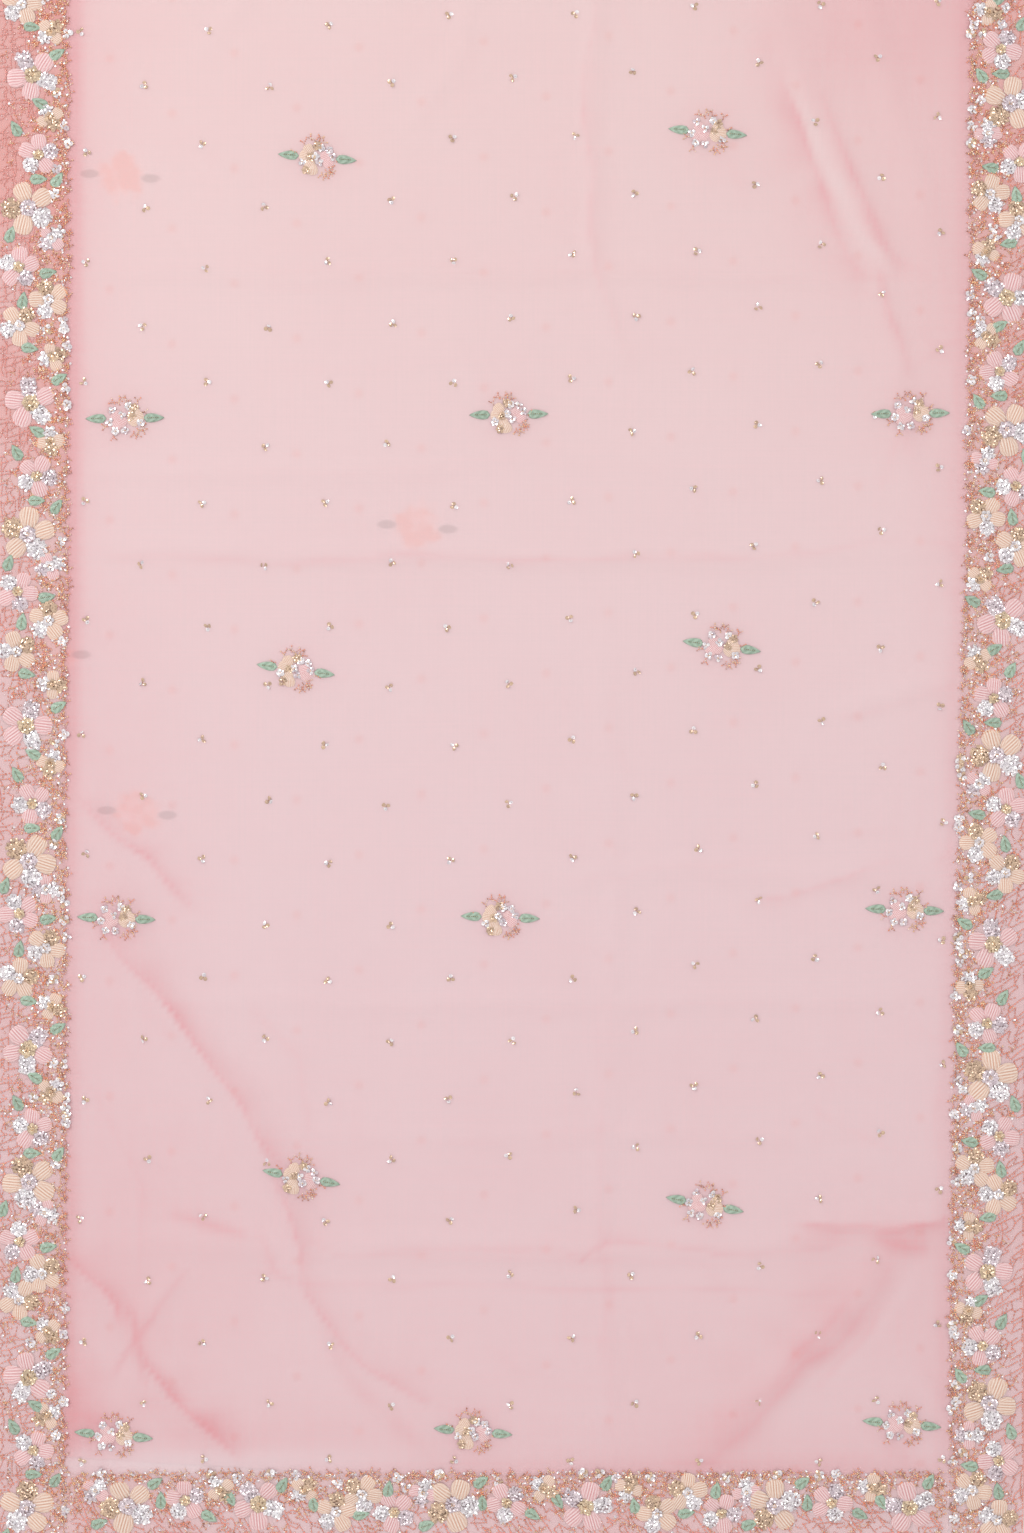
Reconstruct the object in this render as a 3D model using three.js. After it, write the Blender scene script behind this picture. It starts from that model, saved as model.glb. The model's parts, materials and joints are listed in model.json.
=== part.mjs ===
// An organza saree laid flat, face up, and folded zigzag into three stretches.
// Millimetres, +Z up. X runs across the cloth, Y along it, with the pallu's end at -Y.
// The front stretch is a field of plain cloth inside three embroidered bands. It turns under at +Y
// and goes on as the two hidden stretches, which are one rounded solid with layered edges.

import * as THREE from "three";

// ---------------------------------------------------------------- driving dimensions
const REACH = 1900; // the folded saree along Y
const BOX_WIDTH = 1142; // across all three stretches, which lie a little out of line
const BAND = 80; // breadth of an embroidered band
const FIELD_WALL = 1.5;
const BAND_WALL = 2.2;
const LAYER = 1.8; // one hidden stretch
const SEAM = 0.3; // clearance between pieces
const STEP = 15; // spacing of the points along every edge
const SLACK = 8; // how far past the lower fold the front stretch begins to sink
const GATHER = 28; // length over which it sinks to the floor

const END_Y = -REACH / 2; // the pallu's end
const FOLD_RADIUS = SEAM + BAND_WALL; // outside of the top fold
const FOLD_Y = REACH / 2 - FOLD_RADIUS; // where the front stretch begins to turn under
const STACK = 2 * LAYER; // height of the hidden stretches
const REST = STACK + SEAM; // underside of the front stretch where it lies on them
const CURL = 60; // length that the turn takes up in the cloth's own chart
const CURL_ROWS = 4;
const RAW_END_Y = 925; // the saree's other end, under the top fold

// Side edges of each stretch, left and right, at heights up the cloth.
const EDGES = {
  front: [
    { y: -950, left: -560, right: 540 },
    { y: -700, left: -560, right: 540 },
    { y: -400, left: -558, right: 543 },
    { y: -120, left: -559, right: 549 },
    { y: 150, left: -557, right: 557 },
    { y: 480, left: -556, right: 561 },
    { y: 950, left: -557, right: 561 },
  ],
  second: [
    { y: -950, left: -548, right: 571 },
    { y: -500, left: -550, right: 568 },
    { y: 0, left: -551, right: 566 },
    { y: 500, left: -554, right: 563 },
    { y: 950, left: -557, right: 561 },
  ],
  third: [
    { y: -950, left: -548, right: 571 },
    { y: -400, left: -555, right: 564 },
    { y: 200, left: -563, right: 556 },
    { y: 950, left: -571, right: 547 },
  ],
};

// The lower fold, where the second stretch turns into the third. It lies aslant.
const LOWER_FOLD = [
  { x: -571, y: -850 },
  { x: -123, y: -877 },
  { x: 571, y: -893 },
];

// One repeat of the running floral band. Flowers: distance along it, distance in from the cloth's
// edge, radius and height. Leaves: the same two distances, and degrees turned in from along the band.
const REPEAT = 346;
const BAND_FLOWERS = [
  { s: 0, t: 36, r: 27, h: 1.8 },
  { s: 60, t: 42, r: 18, h: 1.4 },
  { s: 100, t: 61, r: 13, h: 1.1 },
  { s: 142, t: 37, r: 26, h: 1.8 },
  { s: 188, t: 61, r: 13, h: 1.1 },
  { s: 221, t: 25, r: 18, h: 1.4 },
  { s: 252, t: 56, r: 18, h: 1.4 },
  { s: 286, t: 26, r: 18, h: 1.4 },
  { s: 314, t: 58, r: 13, h: 1.1 },
];
const BAND_LEAVES = [
  { s: 30, t: 68, turn: 35 },
  { s: 34, t: 44, turn: 90 },
  { s: 88, t: 24, turn: -30 },
  { s: 112, t: 45, turn: -60 },
  { s: 165, t: 68, turn: 60 },
  { s: 197, t: 38, turn: 100 },
  { s: 251, t: 28, turn: 10 },
  { s: 280, t: 58, turn: 80 },
  { s: 318, t: 14, turn: 20 },
];
const LEAF = { half: 9.5, wide: 4.8, height: 0.8 };
const BANDS = {
  left: { start: 40, sway: 2.2, turn: 0.3 },
  right: { start: 152, sway: 1.7, turn: 1.1 },
  end: { start: 64, sway: 2.0, turn: 2.0 },
};

// Embroidered sprays on the field, in staggered rows: each one's place, across and up the cloth.
const SPRAYS = [
  [[-424, 812], [-12, 818], [412, 830]],
  [[-213, 530], [203, 557]],
  [[-418, 252], [-9, 256], [419, 257]],
  [[-236, -16], [218, 9]],
  [[-427, -281], [-18, -280], [413, -272]],
  [[-230, -557], [200, -586]],
  [[-430, -832], [-47, -828], [410, -820]],
];
const SPRAY = { radius: 21, height: 1.2, leafOut: 31 };

// The front stretch's creases: crest height, half width and the line of the crest.
const CREASES = [
  { h: 2.2, w: 12, line: [[-471, 410], [-230, 403], [90, 407], [476, 398]] },
  { h: 1.6, w: 11, line: [[-471, 197], [-285, 191], [-40, 198]] },
  { h: 2.6, w: 13, line: [[-471, 115], [-124, 106], [197, 102], [472, 115]] },
  { h: 2.0, w: 14, line: [[48, -241], [197, -228], [390, -240]] },
  { h: 1.8, w: 12, line: [[-466, -369], [-4, -372], [452, -367]] },
  { h: 1.2, w: 11, line: [[-230, -513], [305, -516]] },
  { h: 3.0, w: 16, line: [[-471, -626], [-230, -632], [90, -636], [410, -624]] },
  { h: 2.2, w: 13, line: [[78, 930], [82, 690], [80, 401], [112, 316]] },
  { h: 1.6, w: 13, line: [[90, 16], [103, -262], [90, -583], [103, -855]] },
  { h: 4.5, w: 19, line: [[-460, -144], [-391, -348], [-300, -470], [-245, -560], [-230, -658], [-95, -845]] },
  { h: 3.8, w: 17, line: [[-476, -636], [-412, -722], [-306, -848]] },
  { h: 2.5, w: 14, line: [[-405, -716], [-354, -650]] },
  { h: 4.0, w: 19, line: [[411, -626], [300, -750], [198, -850]] },
  { h: 2.8, w: 15, line: [[315, -606], [390, -611], [462, -598]] },
  { h: 3.2, w: 17, line: [[228, 850], [272, 701], [390, 423], [417, 187]] },
  { h: 3.0, w: 16, line: [[330, 860], [369, 701], [452, 412]] },
  { h: 2.5, w: 14, line: [[337, -64], [411, -39], [466, -32]] },
  { h: 2.0, w: 14, line: [[50, -640], [100, -690], [150, -738]] },
  { h: 1.8, w: 13, line: [[-330, 640], [-250, 760], [-215, 900]] },
  { h: 1.6, w: 12, line: [[-120, 560], [-60, 640], [-40, 740]] },
];
const CREASE_FADE = 22; // creases die out over this distance from the bands

// Edge section of the hidden stretches, from the floor up: height, which stretch, how far the raw
// edge is rounded in, and how far the lower fold is.
const LAYER_EDGE = [
  { z: 0, of: "third", raw: 0.9, fold: 1.8 },
  { z: 0.5, of: "third", raw: 0, fold: 0.6 },
  { z: 1.2, of: "third", raw: 0, fold: 0.1 },
  { z: 1.6, of: "third", raw: 0.7, fold: 0 },
  { z: 1.8, of: "groove", raw: 5, fold: 0 },
  { z: 2.0, of: "second", raw: 0.7, fold: 0 },
  { z: 2.4, of: "second", raw: 0, fold: 0.1 },
  { z: 3.1, of: "second", raw: 0, fold: 0.6 },
  { z: 3.6, of: "second", raw: 0.9, fold: 1.8 },
];

// ---------------------------------------------------------------- small helpers
const clamp = (v, low, high) => Math.min(high, Math.max(low, v));
const lerp = (a, b, f) => a + (b - a) * f;
const ease = (f) => clamp(f, 0, 1) ** 2 * (3 - 2 * clamp(f, 0, 1));
const steps = (from, to, count) => Array.from({ length: count + 1 }, (_, i) => lerp(from, to, i / count));
const stepsOf = (from, to, size) => steps(from, to, Math.max(1, Math.round((to - from) / size)));

/** Value of a table's column at a place, eased from row to row. */
function read(table, at, by, column, blend = ease) {
  let i = 0;
  while (i < table.length - 2 && at > table[i + 1][by]) i += 1;
  const [a, b] = [table[i], table[i + 1]];
  return lerp(a[column], b[column], blend((at - a[by]) / (b[by] - a[by])));
}
const straight = (f) => clamp(f, 0, 1);
const edge = (stretch, side, y) => read(EDGES[stretch], y, "y", side);
const lowerFold = (x) => read(LOWER_FOLD, x, "x", "y", straight);

/** Distance from a point to a line of segments, and how far along the line it falls, 0 to 1. */
function offLine(line, x, y) {
  let best = { distance: Infinity, along: 0 };
  let before = 0;
  const lengths = line.slice(1).map(([bx, by], i) => Math.hypot(bx - line[i][0], by - line[i][1]));
  const whole = lengths.reduce((sum, one) => sum + one, 0);
  lengths.forEach((length, i) => {
    const [ax, ay] = line[i];
    const [bx, by] = line[i + 1];
    const f = clamp(((x - ax) * (bx - ax) + (y - ay) * (by - ay)) / length ** 2, 0, 1);
    const distance = Math.hypot(x - lerp(ax, bx, f), y - lerp(ay, by, f));
    if (distance < best.distance) best = { distance, along: (before + f * length) / whole };
    before += length;
  });
  return best;
}

// ---------------------------------------------------------------- the front stretch's form
/** Underside of the front stretch: on the hidden layers, then down past their lower fold. */
const underside = (x, y) => REST * (1 - ease((lowerFold(x) - SLACK - y) / GATHER));

/** Height that the creases add, dying out toward the bands and the top fold. */
function creases(x, y) {
  const inside = Math.min(
    x - edge("front", "left", y) - BAND,
    edge("front", "right", y) - BAND - x,
    y - END_Y - BAND,
    FOLD_Y - 40 - y,
  );
  if (inside <= 0) return 0;
  let height = 0;
  for (const { h, w, line } of CREASES) {
    const { distance, along } = offLine(line, x, y);
    if (distance < w * 1.6)
      height = Math.max(height, h * ease(1 - distance / (w * 1.6)) * (0.35 + 0.65 * Math.sin(Math.PI * along) ** 0.5));
  }
  return height * ease(inside / CREASE_FADE);
}

/** A point of the front stretch, n above its underside; past FOLD_Y it turns under. */
function place(x, y, n) {
  if (y <= FOLD_Y) return [x, y, underside(x, y) + creases(x, y) + n];
  const angle = (Math.PI * (y - FOLD_Y)) / CURL;
  const radius = SEAM + n;
  return [x, FOLD_Y + radius * Math.sin(angle), STACK + radius * Math.cos(angle)];
}

// ---------------------------------------------------------------- meshing
const RAISED_APART = 3; // least spacing of the points that carry raised work, and of the rest
const FORM_APART = 9;
const jog = (i) => ((Math.sin(i * 12.9898) * 43758.5453) % 1) * 2e-4; // keeps grids from tying

/** Delaunay triangles of points in the chart, inserted one by one. */
function delaunay(chart) {
  const far = 1e5;
  const at = [...chart, [-far, -far], [far, -far], [0, far]];
  const n = chart.length;
  const circle = (a, b, c) => {
    const [[ax, ay], [bx, by], [cx, cy]] = [at[a], at[b], at[c]];
    const d = 2 * (ax * (by - cy) + bx * (cy - ay) + cx * (ay - by));
    const [a2, b2, c2] = [ax * ax + ay * ay, bx * bx + by * by, cx * cx + cy * cy];
    const x = (a2 * (by - cy) + b2 * (cy - ay) + c2 * (ay - by)) / d;
    const y = (a2 * (cx - bx) + b2 * (ax - cx) + c2 * (bx - ax)) / d;
    return { t: [a, b, c], x, y, r2: (ax - x) ** 2 + (ay - y) ** 2 };
  };
  let live = [circle(n, n + 1, n + 2)];
  for (let p = 0; p < n; p += 1) {
    const rim = new Map();
    const kept = [];
    for (const one of live) {
      if ((at[p][0] - one.x) ** 2 + (at[p][1] - one.y) ** 2 >= one.r2) {
        kept.push(one);
        continue;
      }
      one.t.forEach((a, i) => {
        const b = one.t[(i + 1) % 3];
        if (!rim.delete(`${b},${a}`)) rim.set(`${a},${b}`, [a, b]);
      });
    }
    for (const [a, b] of rim.values()) kept.push(circle(a, b, p));
    live = kept;
  }
  return live.map((one) => one.t).filter((t) => Math.max(...t) < n);
}

function isInside(loop, x, y) {
  let odd = false;
  loop.forEach(([ax, ay], i) => {
    const [bx, by] = loop[(i + 1) % loop.length];
    if (ay > y !== by > y && x < ax + ((bx - ax) * (y - ay)) / (by - ay)) odd = !odd;
  });
  return odd;
}

/** Triangles of a skin over a closed loop, and the inner points that it keeps, the raised first. */
function skin(loop, raised, form) {
  const kept = [];
  const inner = [...raised.map((p) => [...p, RAISED_APART]), ...form.map(([x, y]) => [x, y, 0, FORM_APART])];
  for (const point of inner) {
    const [x, y, , apart] = point;
    const crowded = kept.some(([a, b]) => (a - x) ** 2 + (b - y) ** 2 < apart ** 2);
    if (crowded || !isInside(loop, x, y)) continue;
    const nearEdge = loop.some(([ax, ay], i) => {
      const [bx, by] = loop[(i + 1) % loop.length];
      const reach = Math.hypot(bx - ax, by - ay) / 2 + 0.8;
      return (x - (ax + bx) / 2) ** 2 + (y - (ay + by) / 2) ** 2 < reach ** 2;
    });
    if (!nearEdge) kept.push(point);
  }
  const chart = [...loop, ...kept].map(([x, y], i) => [x + jog(i), y + jog(i + 7)]);
  const rim = chart.slice(0, loop.length);
  const triangles = delaunay(chart).filter((t) =>
    isInside(rim, (chart[t[0]][0] + chart[t[1]][0] + chart[t[2]][0]) / 3, (chart[t[0]][1] + chart[t[1]][1] + chart[t[2]][1]) / 3),
  );
  const wanted = 2 * chart.length - 2 - loop.length;
  if (triangles.length !== wanted) throw new Error(`a skin has ${triangles.length} triangles, not ${wanted}`);
  return { kept, triangles };
}

/** A closed solid from rings, floor to face, whose first and last rings carry skins. */
function solid(rings, below, above) {
  const count = rings[0].length;
  const points = [...rings.flat(), ...below.points, ...above.points];
  const index = [];
  for (let k = 0; k < rings.length - 1; k += 1)
    for (let i = 0; i < count; i += 1) {
      const j = (i + 1) % count;
      const [a, b, c, d] = [k * count + i, k * count + j, (k + 1) * count + j, (k + 1) * count + i];
      index.push(a, b, c, a, c, d);
    }
  const cap = (skinned, ring, firstInner, flip) =>
    skinned.triangles.forEach((t) => {
      const three = t.map((v) => (v < count ? ring * count + v : firstInner + v - count));
      index.push(...(flip ? [three[0], three[2], three[1]] : three));
    });
  cap(below, 0, rings.length * count, true);
  cap(above, rings.length - 1, rings.length * count + below.points.length, false);
  const geometry = new THREE.BufferGeometry();
  geometry.setAttribute("position", new THREE.Float32BufferAttribute(points.flat(), 3));
  geometry.setIndex(index);
  geometry.computeVertexNormals();
  return geometry;
}

/** A wall of the front stretch: a plain underside, and a face that may carry raised work. */
function wall(loop, thickness, form, raised) {
  const below = skin(loop, [], form);
  const above = skin(loop, raised, form);
  const onto = (n) => ([x, y, more]) => place(x, y, n + more);
  below.points = below.kept.map(onto(0));
  above.points = above.kept.map(onto(thickness));
  return solid([loop.map(([x, y]) => place(x, y, 0)), loop.map(([x, y]) => place(x, y, thickness))], below, above);
}

// ---------------------------------------------------------------- raised embroidery
// A flower's points: the centre, then for each of its five petals the crest, the two sides of the
// round tip and the dip before the next one. Angles are shares of a petal, sizes shares of the whole.
const PETALS = 5;
const CENTRE_HEIGHT = 0.6;
const PETAL_POINTS = [
  { angle: 0, out: 0.62, up: 1 },
  { angle: -0.26, out: 0.98, up: 0.1 },
  { angle: 0.26, out: 0.98, up: 0.1 },
  { angle: 0.5, out: 0.56, up: 0.15 },
];

/** Five-petalled flower: dimpled centre, petal crests, round tips, and dips between the petals. */
function flower(x, y, radius, height, turn) {
  const points = [[x, y, height * CENTRE_HEIGHT]];
  for (let petal = 0; petal < PETALS; petal += 1)
    for (const { angle, out, up } of PETAL_POINTS) {
      const at = turn + ((petal + angle) * Math.PI * 2) / PETALS;
      points.push([x + radius * out * Math.cos(at), y + radius * out * Math.sin(at), height * up]);
    }
  return points;
}

/** Pointed leaf: two tips, two sides and the raised middle of its vein. */
function leaf(x, y, turn) {
  const { half, wide, height } = LEAF;
  const at = (along, across, up) => [
    x + along * Math.cos(turn) - across * Math.sin(turn),
    y + along * Math.sin(turn) + across * Math.cos(turn),
    up,
  ];
  return [at(0, 0, height), at(half, 0, 0.1), at(-half, 0, 0.1), at(0, wide, 0.1), at(0, -wide, 0.1)];
}

/** A table of the repeat laid out along one band, each row a little out of place. */
function laidOut(table, band, length, clear) {
  const { start, sway, turn } = BANDS[band];
  const rows = [];
  for (let repeat = -1; repeat * REPEAT < length; repeat += 1)
    table.forEach((row, i) => {
      const s = start + repeat * REPEAT + row.s + sway * Math.sin(repeat * 2.1 + i * 1.7);
      const t = row.t + sway * Math.sin(repeat * 1.3 + i * 2.9);
      const own = row.turn === undefined ? turn + i * 0.9 + repeat * 0.4 : (row.turn * Math.PI) / 180;
      if (s > clear && s < length - clear) rows.push({ ...row, s, t, turn: own });
    });
  return rows;
}
const SIDE_LENGTH = FOLD_Y - END_Y;
const END_LENGTH = edge("front", "right", END_Y) - edge("front", "left", END_Y) - 2 * BAND;
const BAND_LENGTH = { left: SIDE_LENGTH - 8, right: SIDE_LENGTH - 8, end: END_LENGTH };
const laidOutAll = (table, clear) =>
  Object.fromEntries(Object.keys(BANDS).map((band) => [band, laidOut(table, band, BAND_LENGTH[band], clear)]));
const FLOWERS = laidOutAll(BAND_FLOWERS, 20);
const LEAVES = laidOutAll(BAND_LEAVES, 10);

/** Inner edge of a band, following its flowers; straight in the corner with the end band. */
function bandReach(band, s, length) {
  let reach = BAND - 9;
  for (const { s: at, t, r } of FLOWERS[band]) {
    const across = (r + 3) ** 2 - (s - at) ** 2;
    if (across > 0) reach = Math.max(reach, t + Math.sqrt(across));
  }
  const corner = band === "end" ? Math.min(s, length - s) / 30 : (s - BAND - 10) / 40;
  return lerp(BAND, Math.min(reach, BAND + 3), ease(corner));
}
const innerLeft = (y) => edge("front", "left", y) + bandReach("left", y - END_Y, SIDE_LENGTH);
const innerRight = (y) => edge("front", "right", y) - bandReach("right", y - END_Y, SIDE_LENGTH);
const leftCornerX = edge("front", "left", END_Y) + BAND;
const innerEnd = (x) => END_Y + bandReach("end", x - leftCornerX, END_LENGTH);

/** Where a distance along a band and one in from its edge fall on the cloth. */
function onBand(band, s, t) {
  if (band === "end") return [leftCornerX + s, END_Y + t];
  const x = edge("front", band, END_Y + s);
  return [band === "left" ? x + t : x - t, END_Y + s];
}

/** The raised points of a band: its flowers, then its leaves. */
const bandRaised = (band) =>
  [
    ...FLOWERS[band].flatMap(({ s, t, r, h, turn }) => flower(s, t, r, h, turn)),
    ...LEAVES[band].flatMap(({ s, t, turn }) => leaf(s, t, turn)),
  ].map(([s, t, up]) => [...onBand(band, s, t), up]);

/** A spray on the field: a flower head with a leaf to each side. */
const spray = (x, y, turn) => [
  ...flower(x, y, SPRAY.radius, SPRAY.height, turn),
  ...[-1, 1].flatMap((side) => leaf(x + side * SPRAY.leafOut, y, 0)),
];

// ---------------------------------------------------------------- points that carry the form
const sideRows = stepsOf(END_Y, FOLD_Y, STEP);
const curlRows = steps(FOLD_Y, FOLD_Y + CURL, CURL_ROWS).slice(1);
const columns = (from, to, size = 40) => stepsOf(from, to, size);

/** Rows across the sinking stretch beside the lower fold. */
const GATHER_ROWS = [-0.12, 0.2, 0.5, 0.8, 1.12];
const gatherPoints = (from, to) =>
  columns(from, to, 20).flatMap((x) => GATHER_ROWS.map((f) => [x, lowerFold(x) - SLACK - GATHER * f]));

/** Rows of points along each crease: its crest, its feet and, on the bolder ones, its flanks. */
function creasePoints() {
  const points = [];
  for (const { h, w, line } of [...CREASES].sort((a, b) => b.h - a.h)) {
    const across = h > 2.4 ? [0, -0.75, 0.75, -1.6, 1.6] : [0, -1.4, 1.4];
    line.slice(1).forEach(([bx, by], i) => {
      const [ax, ay] = line[i];
      const length = Math.hypot(bx - ax, by - ay);
      const normal = [-(by - ay) / length, (bx - ax) / length];
      for (const f of stepsOf(0, length, 46).map((d) => d / length))
        for (const side of across)
          points.push([lerp(ax, bx, f) + normal[0] * side * w, lerp(ay, by, f) + normal[1] * side * w]);
    });
  }
  return points;
}

// ---------------------------------------------------------------- the pieces
/** Loop of a side band, anticlockwise: outer edge, turned end and inner edge. */
function sideLoop(side) {
  const outer = (y) => edge("front", side, y);
  const inner = side === "left" ? innerLeft : innerRight;
  const rows = [...sideRows, ...curlRows];
  const flat = (y) => Math.min(y, FOLD_Y);
  const across = (y) => steps(inner(flat(y)), outer(flat(y)), 5).slice(1, -1).map((x) => [x, y]);
  const [first, last] = [rows[0], rows[rows.length - 1]];
  const loop = [
    ...rows.map((y) => [inner(flat(y)), y]),
    ...across(last),
    ...rows.map((y) => [outer(flat(y)), y]).reverse(),
    ...across(first).reverse(),
  ];
  return side === "left" ? loop : loop.reverse();
}

function sideForm(side) {
  const shares = [0.2, 0.4, 0.6, 0.8];
  const ends = [onBand(side, SIDE_LENGTH, 0)[0], (side === "left" ? innerLeft : innerRight)(FOLD_Y)];
  const turned = [FOLD_Y, ...curlRows.slice(0, -1)].flatMap((y) => shares.map((f) => [lerp(...ends, f), y]));
  const sunk = GATHER_ROWS.flatMap((f) => shares.map((share) => {
    const [x] = onBand(side, BAND, BAND * share);
    return [x, lowerFold(x) - SLACK - GATHER * f];
  }));
  return [...turned, ...sunk];
}

const endXs = stepsOf(leftCornerX + SEAM, edge("front", "right", END_Y) - BAND - SEAM, STEP);
function endLoop() {
  const rise = (x, ys) => ys.map((f) => [x, lerp(END_Y, innerEnd(x) - SEAM, f)]);
  const inward = [0.2, 0.4, 0.6, 0.8];
  return [
    ...endXs.map((x) => [x, END_Y]),
    ...rise(endXs[endXs.length - 1], inward),
    ...[...endXs].reverse().map((x) => [x, innerEnd(x) - SEAM]),
    ...rise(endXs[0], inward).reverse(),
  ];
}

function fieldLoop() {
  const left = (y) => innerLeft(Math.min(y, FOLD_Y)) + SEAM;
  const right = (y) => innerRight(Math.min(y, FOLD_Y)) - SEAM;
  const rows = [...sideRows.filter((y) => y > END_Y + BAND + STEP * 0.4), ...curlRows];
  const top = rows[rows.length - 1];
  return [
    ...endXs.map((x) => [x, innerEnd(x)]),
    ...rows.map((y) => [right(y), y]),
    ...columns(left(FOLD_Y), right(FOLD_Y)).slice(1, -1).reverse().map((x) => [x, top]),
    ...rows.map((y) => [left(y), y]).reverse(),
  ];
}

function fieldForm() {
  const xs = columns(innerLeft(FOLD_Y) + SEAM, innerRight(FOLD_Y) - SEAM).slice(1, -1);
  const turned = [FOLD_Y - 24, FOLD_Y, ...curlRows.slice(0, -1)].flatMap((y) => xs.map((x) => [x, y]));
  const sunk = gatherPoints(-470, 470).filter(([x, y]) => y > END_Y + BAND && x < 120);
  const filler = stepsOf(-440, 430, 170).flatMap((x, i) =>
    stepsOf(-800, 860, 170).map((y) => [x, y + (i % 2) * 60]));
  const open = (points, clear) => points.filter(([x, y]) =>
    y < FOLD_Y - 50 && y > lowerFold(x) + clear);
  return [...turned, ...sunk, ...open(creasePoints(), 8), ...open(filler, 20)];
}

/** Loop of the hidden stretches at one height of their edge section. */
function hiddenLoop({ z, of, raw, fold }) {
  const own = (side, y) => {
    if (of !== "groove") return edge(of, side, y);
    const both = [edge("second", side, y), edge("third", side, y)];
    return side === "left" ? Math.max(...both) : Math.min(...both);
  };
  const half = BOX_WIDTH / 2;
  const topY = { third: RAW_END_Y - raw, groove: RAW_END_Y - raw, second: FOLD_Y - SEAM }[of];
  const low = (x) => lowerFold(x) + fold;
  const sides = steps(0, 1, 26);
  const wideLow = stepsOf(-half, half, 60).map((x) => x / half);
  // The groove closes toward the lower fold, where both stretches are one.
  const inset = (f) => (of === "groove" ? lerp(0.4, raw, ease(f * 4)) : raw);
  const column = (side, sign) => sides.map((f) => {
    const cornerX = edge("second", side, END_Y + 60);
    const y = lerp(low(cornerX), topY, f);
    return [clamp(own(side, y) - sign * inset(f), -half, half), y, z];
  });
  const left = column("left", -1);
  const right = column("right", 1);
  const across = (a, b, y) => wideLow.slice(1, -1).map((g) => {
    const x = lerp(a, b, (g + 1) / 2);
    return [x, y(x), z];
  });
  return [
    ...across(left[0][0], right[0][0], low),
    ...right,
    ...across(left[26][0], right[26][0], () => topY).reverse(),
    ...left.reverse(),
  ];
}

function hiddenSolid() {
  const rings = LAYER_EDGE.map(hiddenLoop);
  const inner = stepsOf(-480, 480, 160).flatMap((x) => stepsOf(-760, 820, 160).map((y) => [x, y]));
  const caps = [rings[0], rings[rings.length - 1]].map((ring) => skin(ring, [], inner));
  caps[0].points = caps[0].kept.map(([x, y]) => [x, y, 0]);
  caps[1].points = caps[1].kept.map(([x, y]) => [x, y, STACK]);
  return solid(rings, ...caps);
}

// ---------------------------------------------------------------- the saree
const ORGANZA = { color: 0xe9cdcf, roughness: 0.62, metalness: 0 };
const EMBROIDERY = { color: 0xe6b9ae, roughness: 0.5, metalness: 0.05 };

const sprays = SPRAYS.flatMap((places, row) => places.flatMap(([x, y], i) => spray(x, y, row + i * 1.3)));

const pieces = [
  ["hidden_layers", hiddenSolid(), { ...ORGANZA, color: 0xe7c6c8 }],
  ["pallu_field", wall(fieldLoop(), FIELD_WALL, fieldForm(), sprays), ORGANZA],
  ["border_left", wall(sideLoop("left"), BAND_WALL, sideForm("left"), bandRaised("left")), EMBROIDERY],
  ["border_right", wall(sideLoop("right"), BAND_WALL, sideForm("right"), bandRaised("right")), EMBROIDERY],
  ["border_end", wall(endLoop(), BAND_WALL, gatherPoints(-460, 440), bandRaised("end")), EMBROIDERY],
];

const group = new THREE.Group();
group.name = "organza_saree";
for (const [name, geometry, look] of pieces) {
  const mesh = new THREE.Mesh(geometry, new THREE.MeshStandardMaterial(look));
  mesh.name = name;
  group.add(mesh);
}

export default group;
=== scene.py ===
# %% [markdown]
# # An embroidered organza saree, laid flat
# The object is one long piece of sheer organza. It lies face up on a table, and its spare length is
# folded back under itself twice. Both edges and the end carry a band of sewn flowers.
#
# A script for cloth like this could start from a simulation, from sculpting or from plain sheets.
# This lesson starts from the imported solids, which fix every size, and lays finer sheets over them.

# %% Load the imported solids
import json
import math

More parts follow.
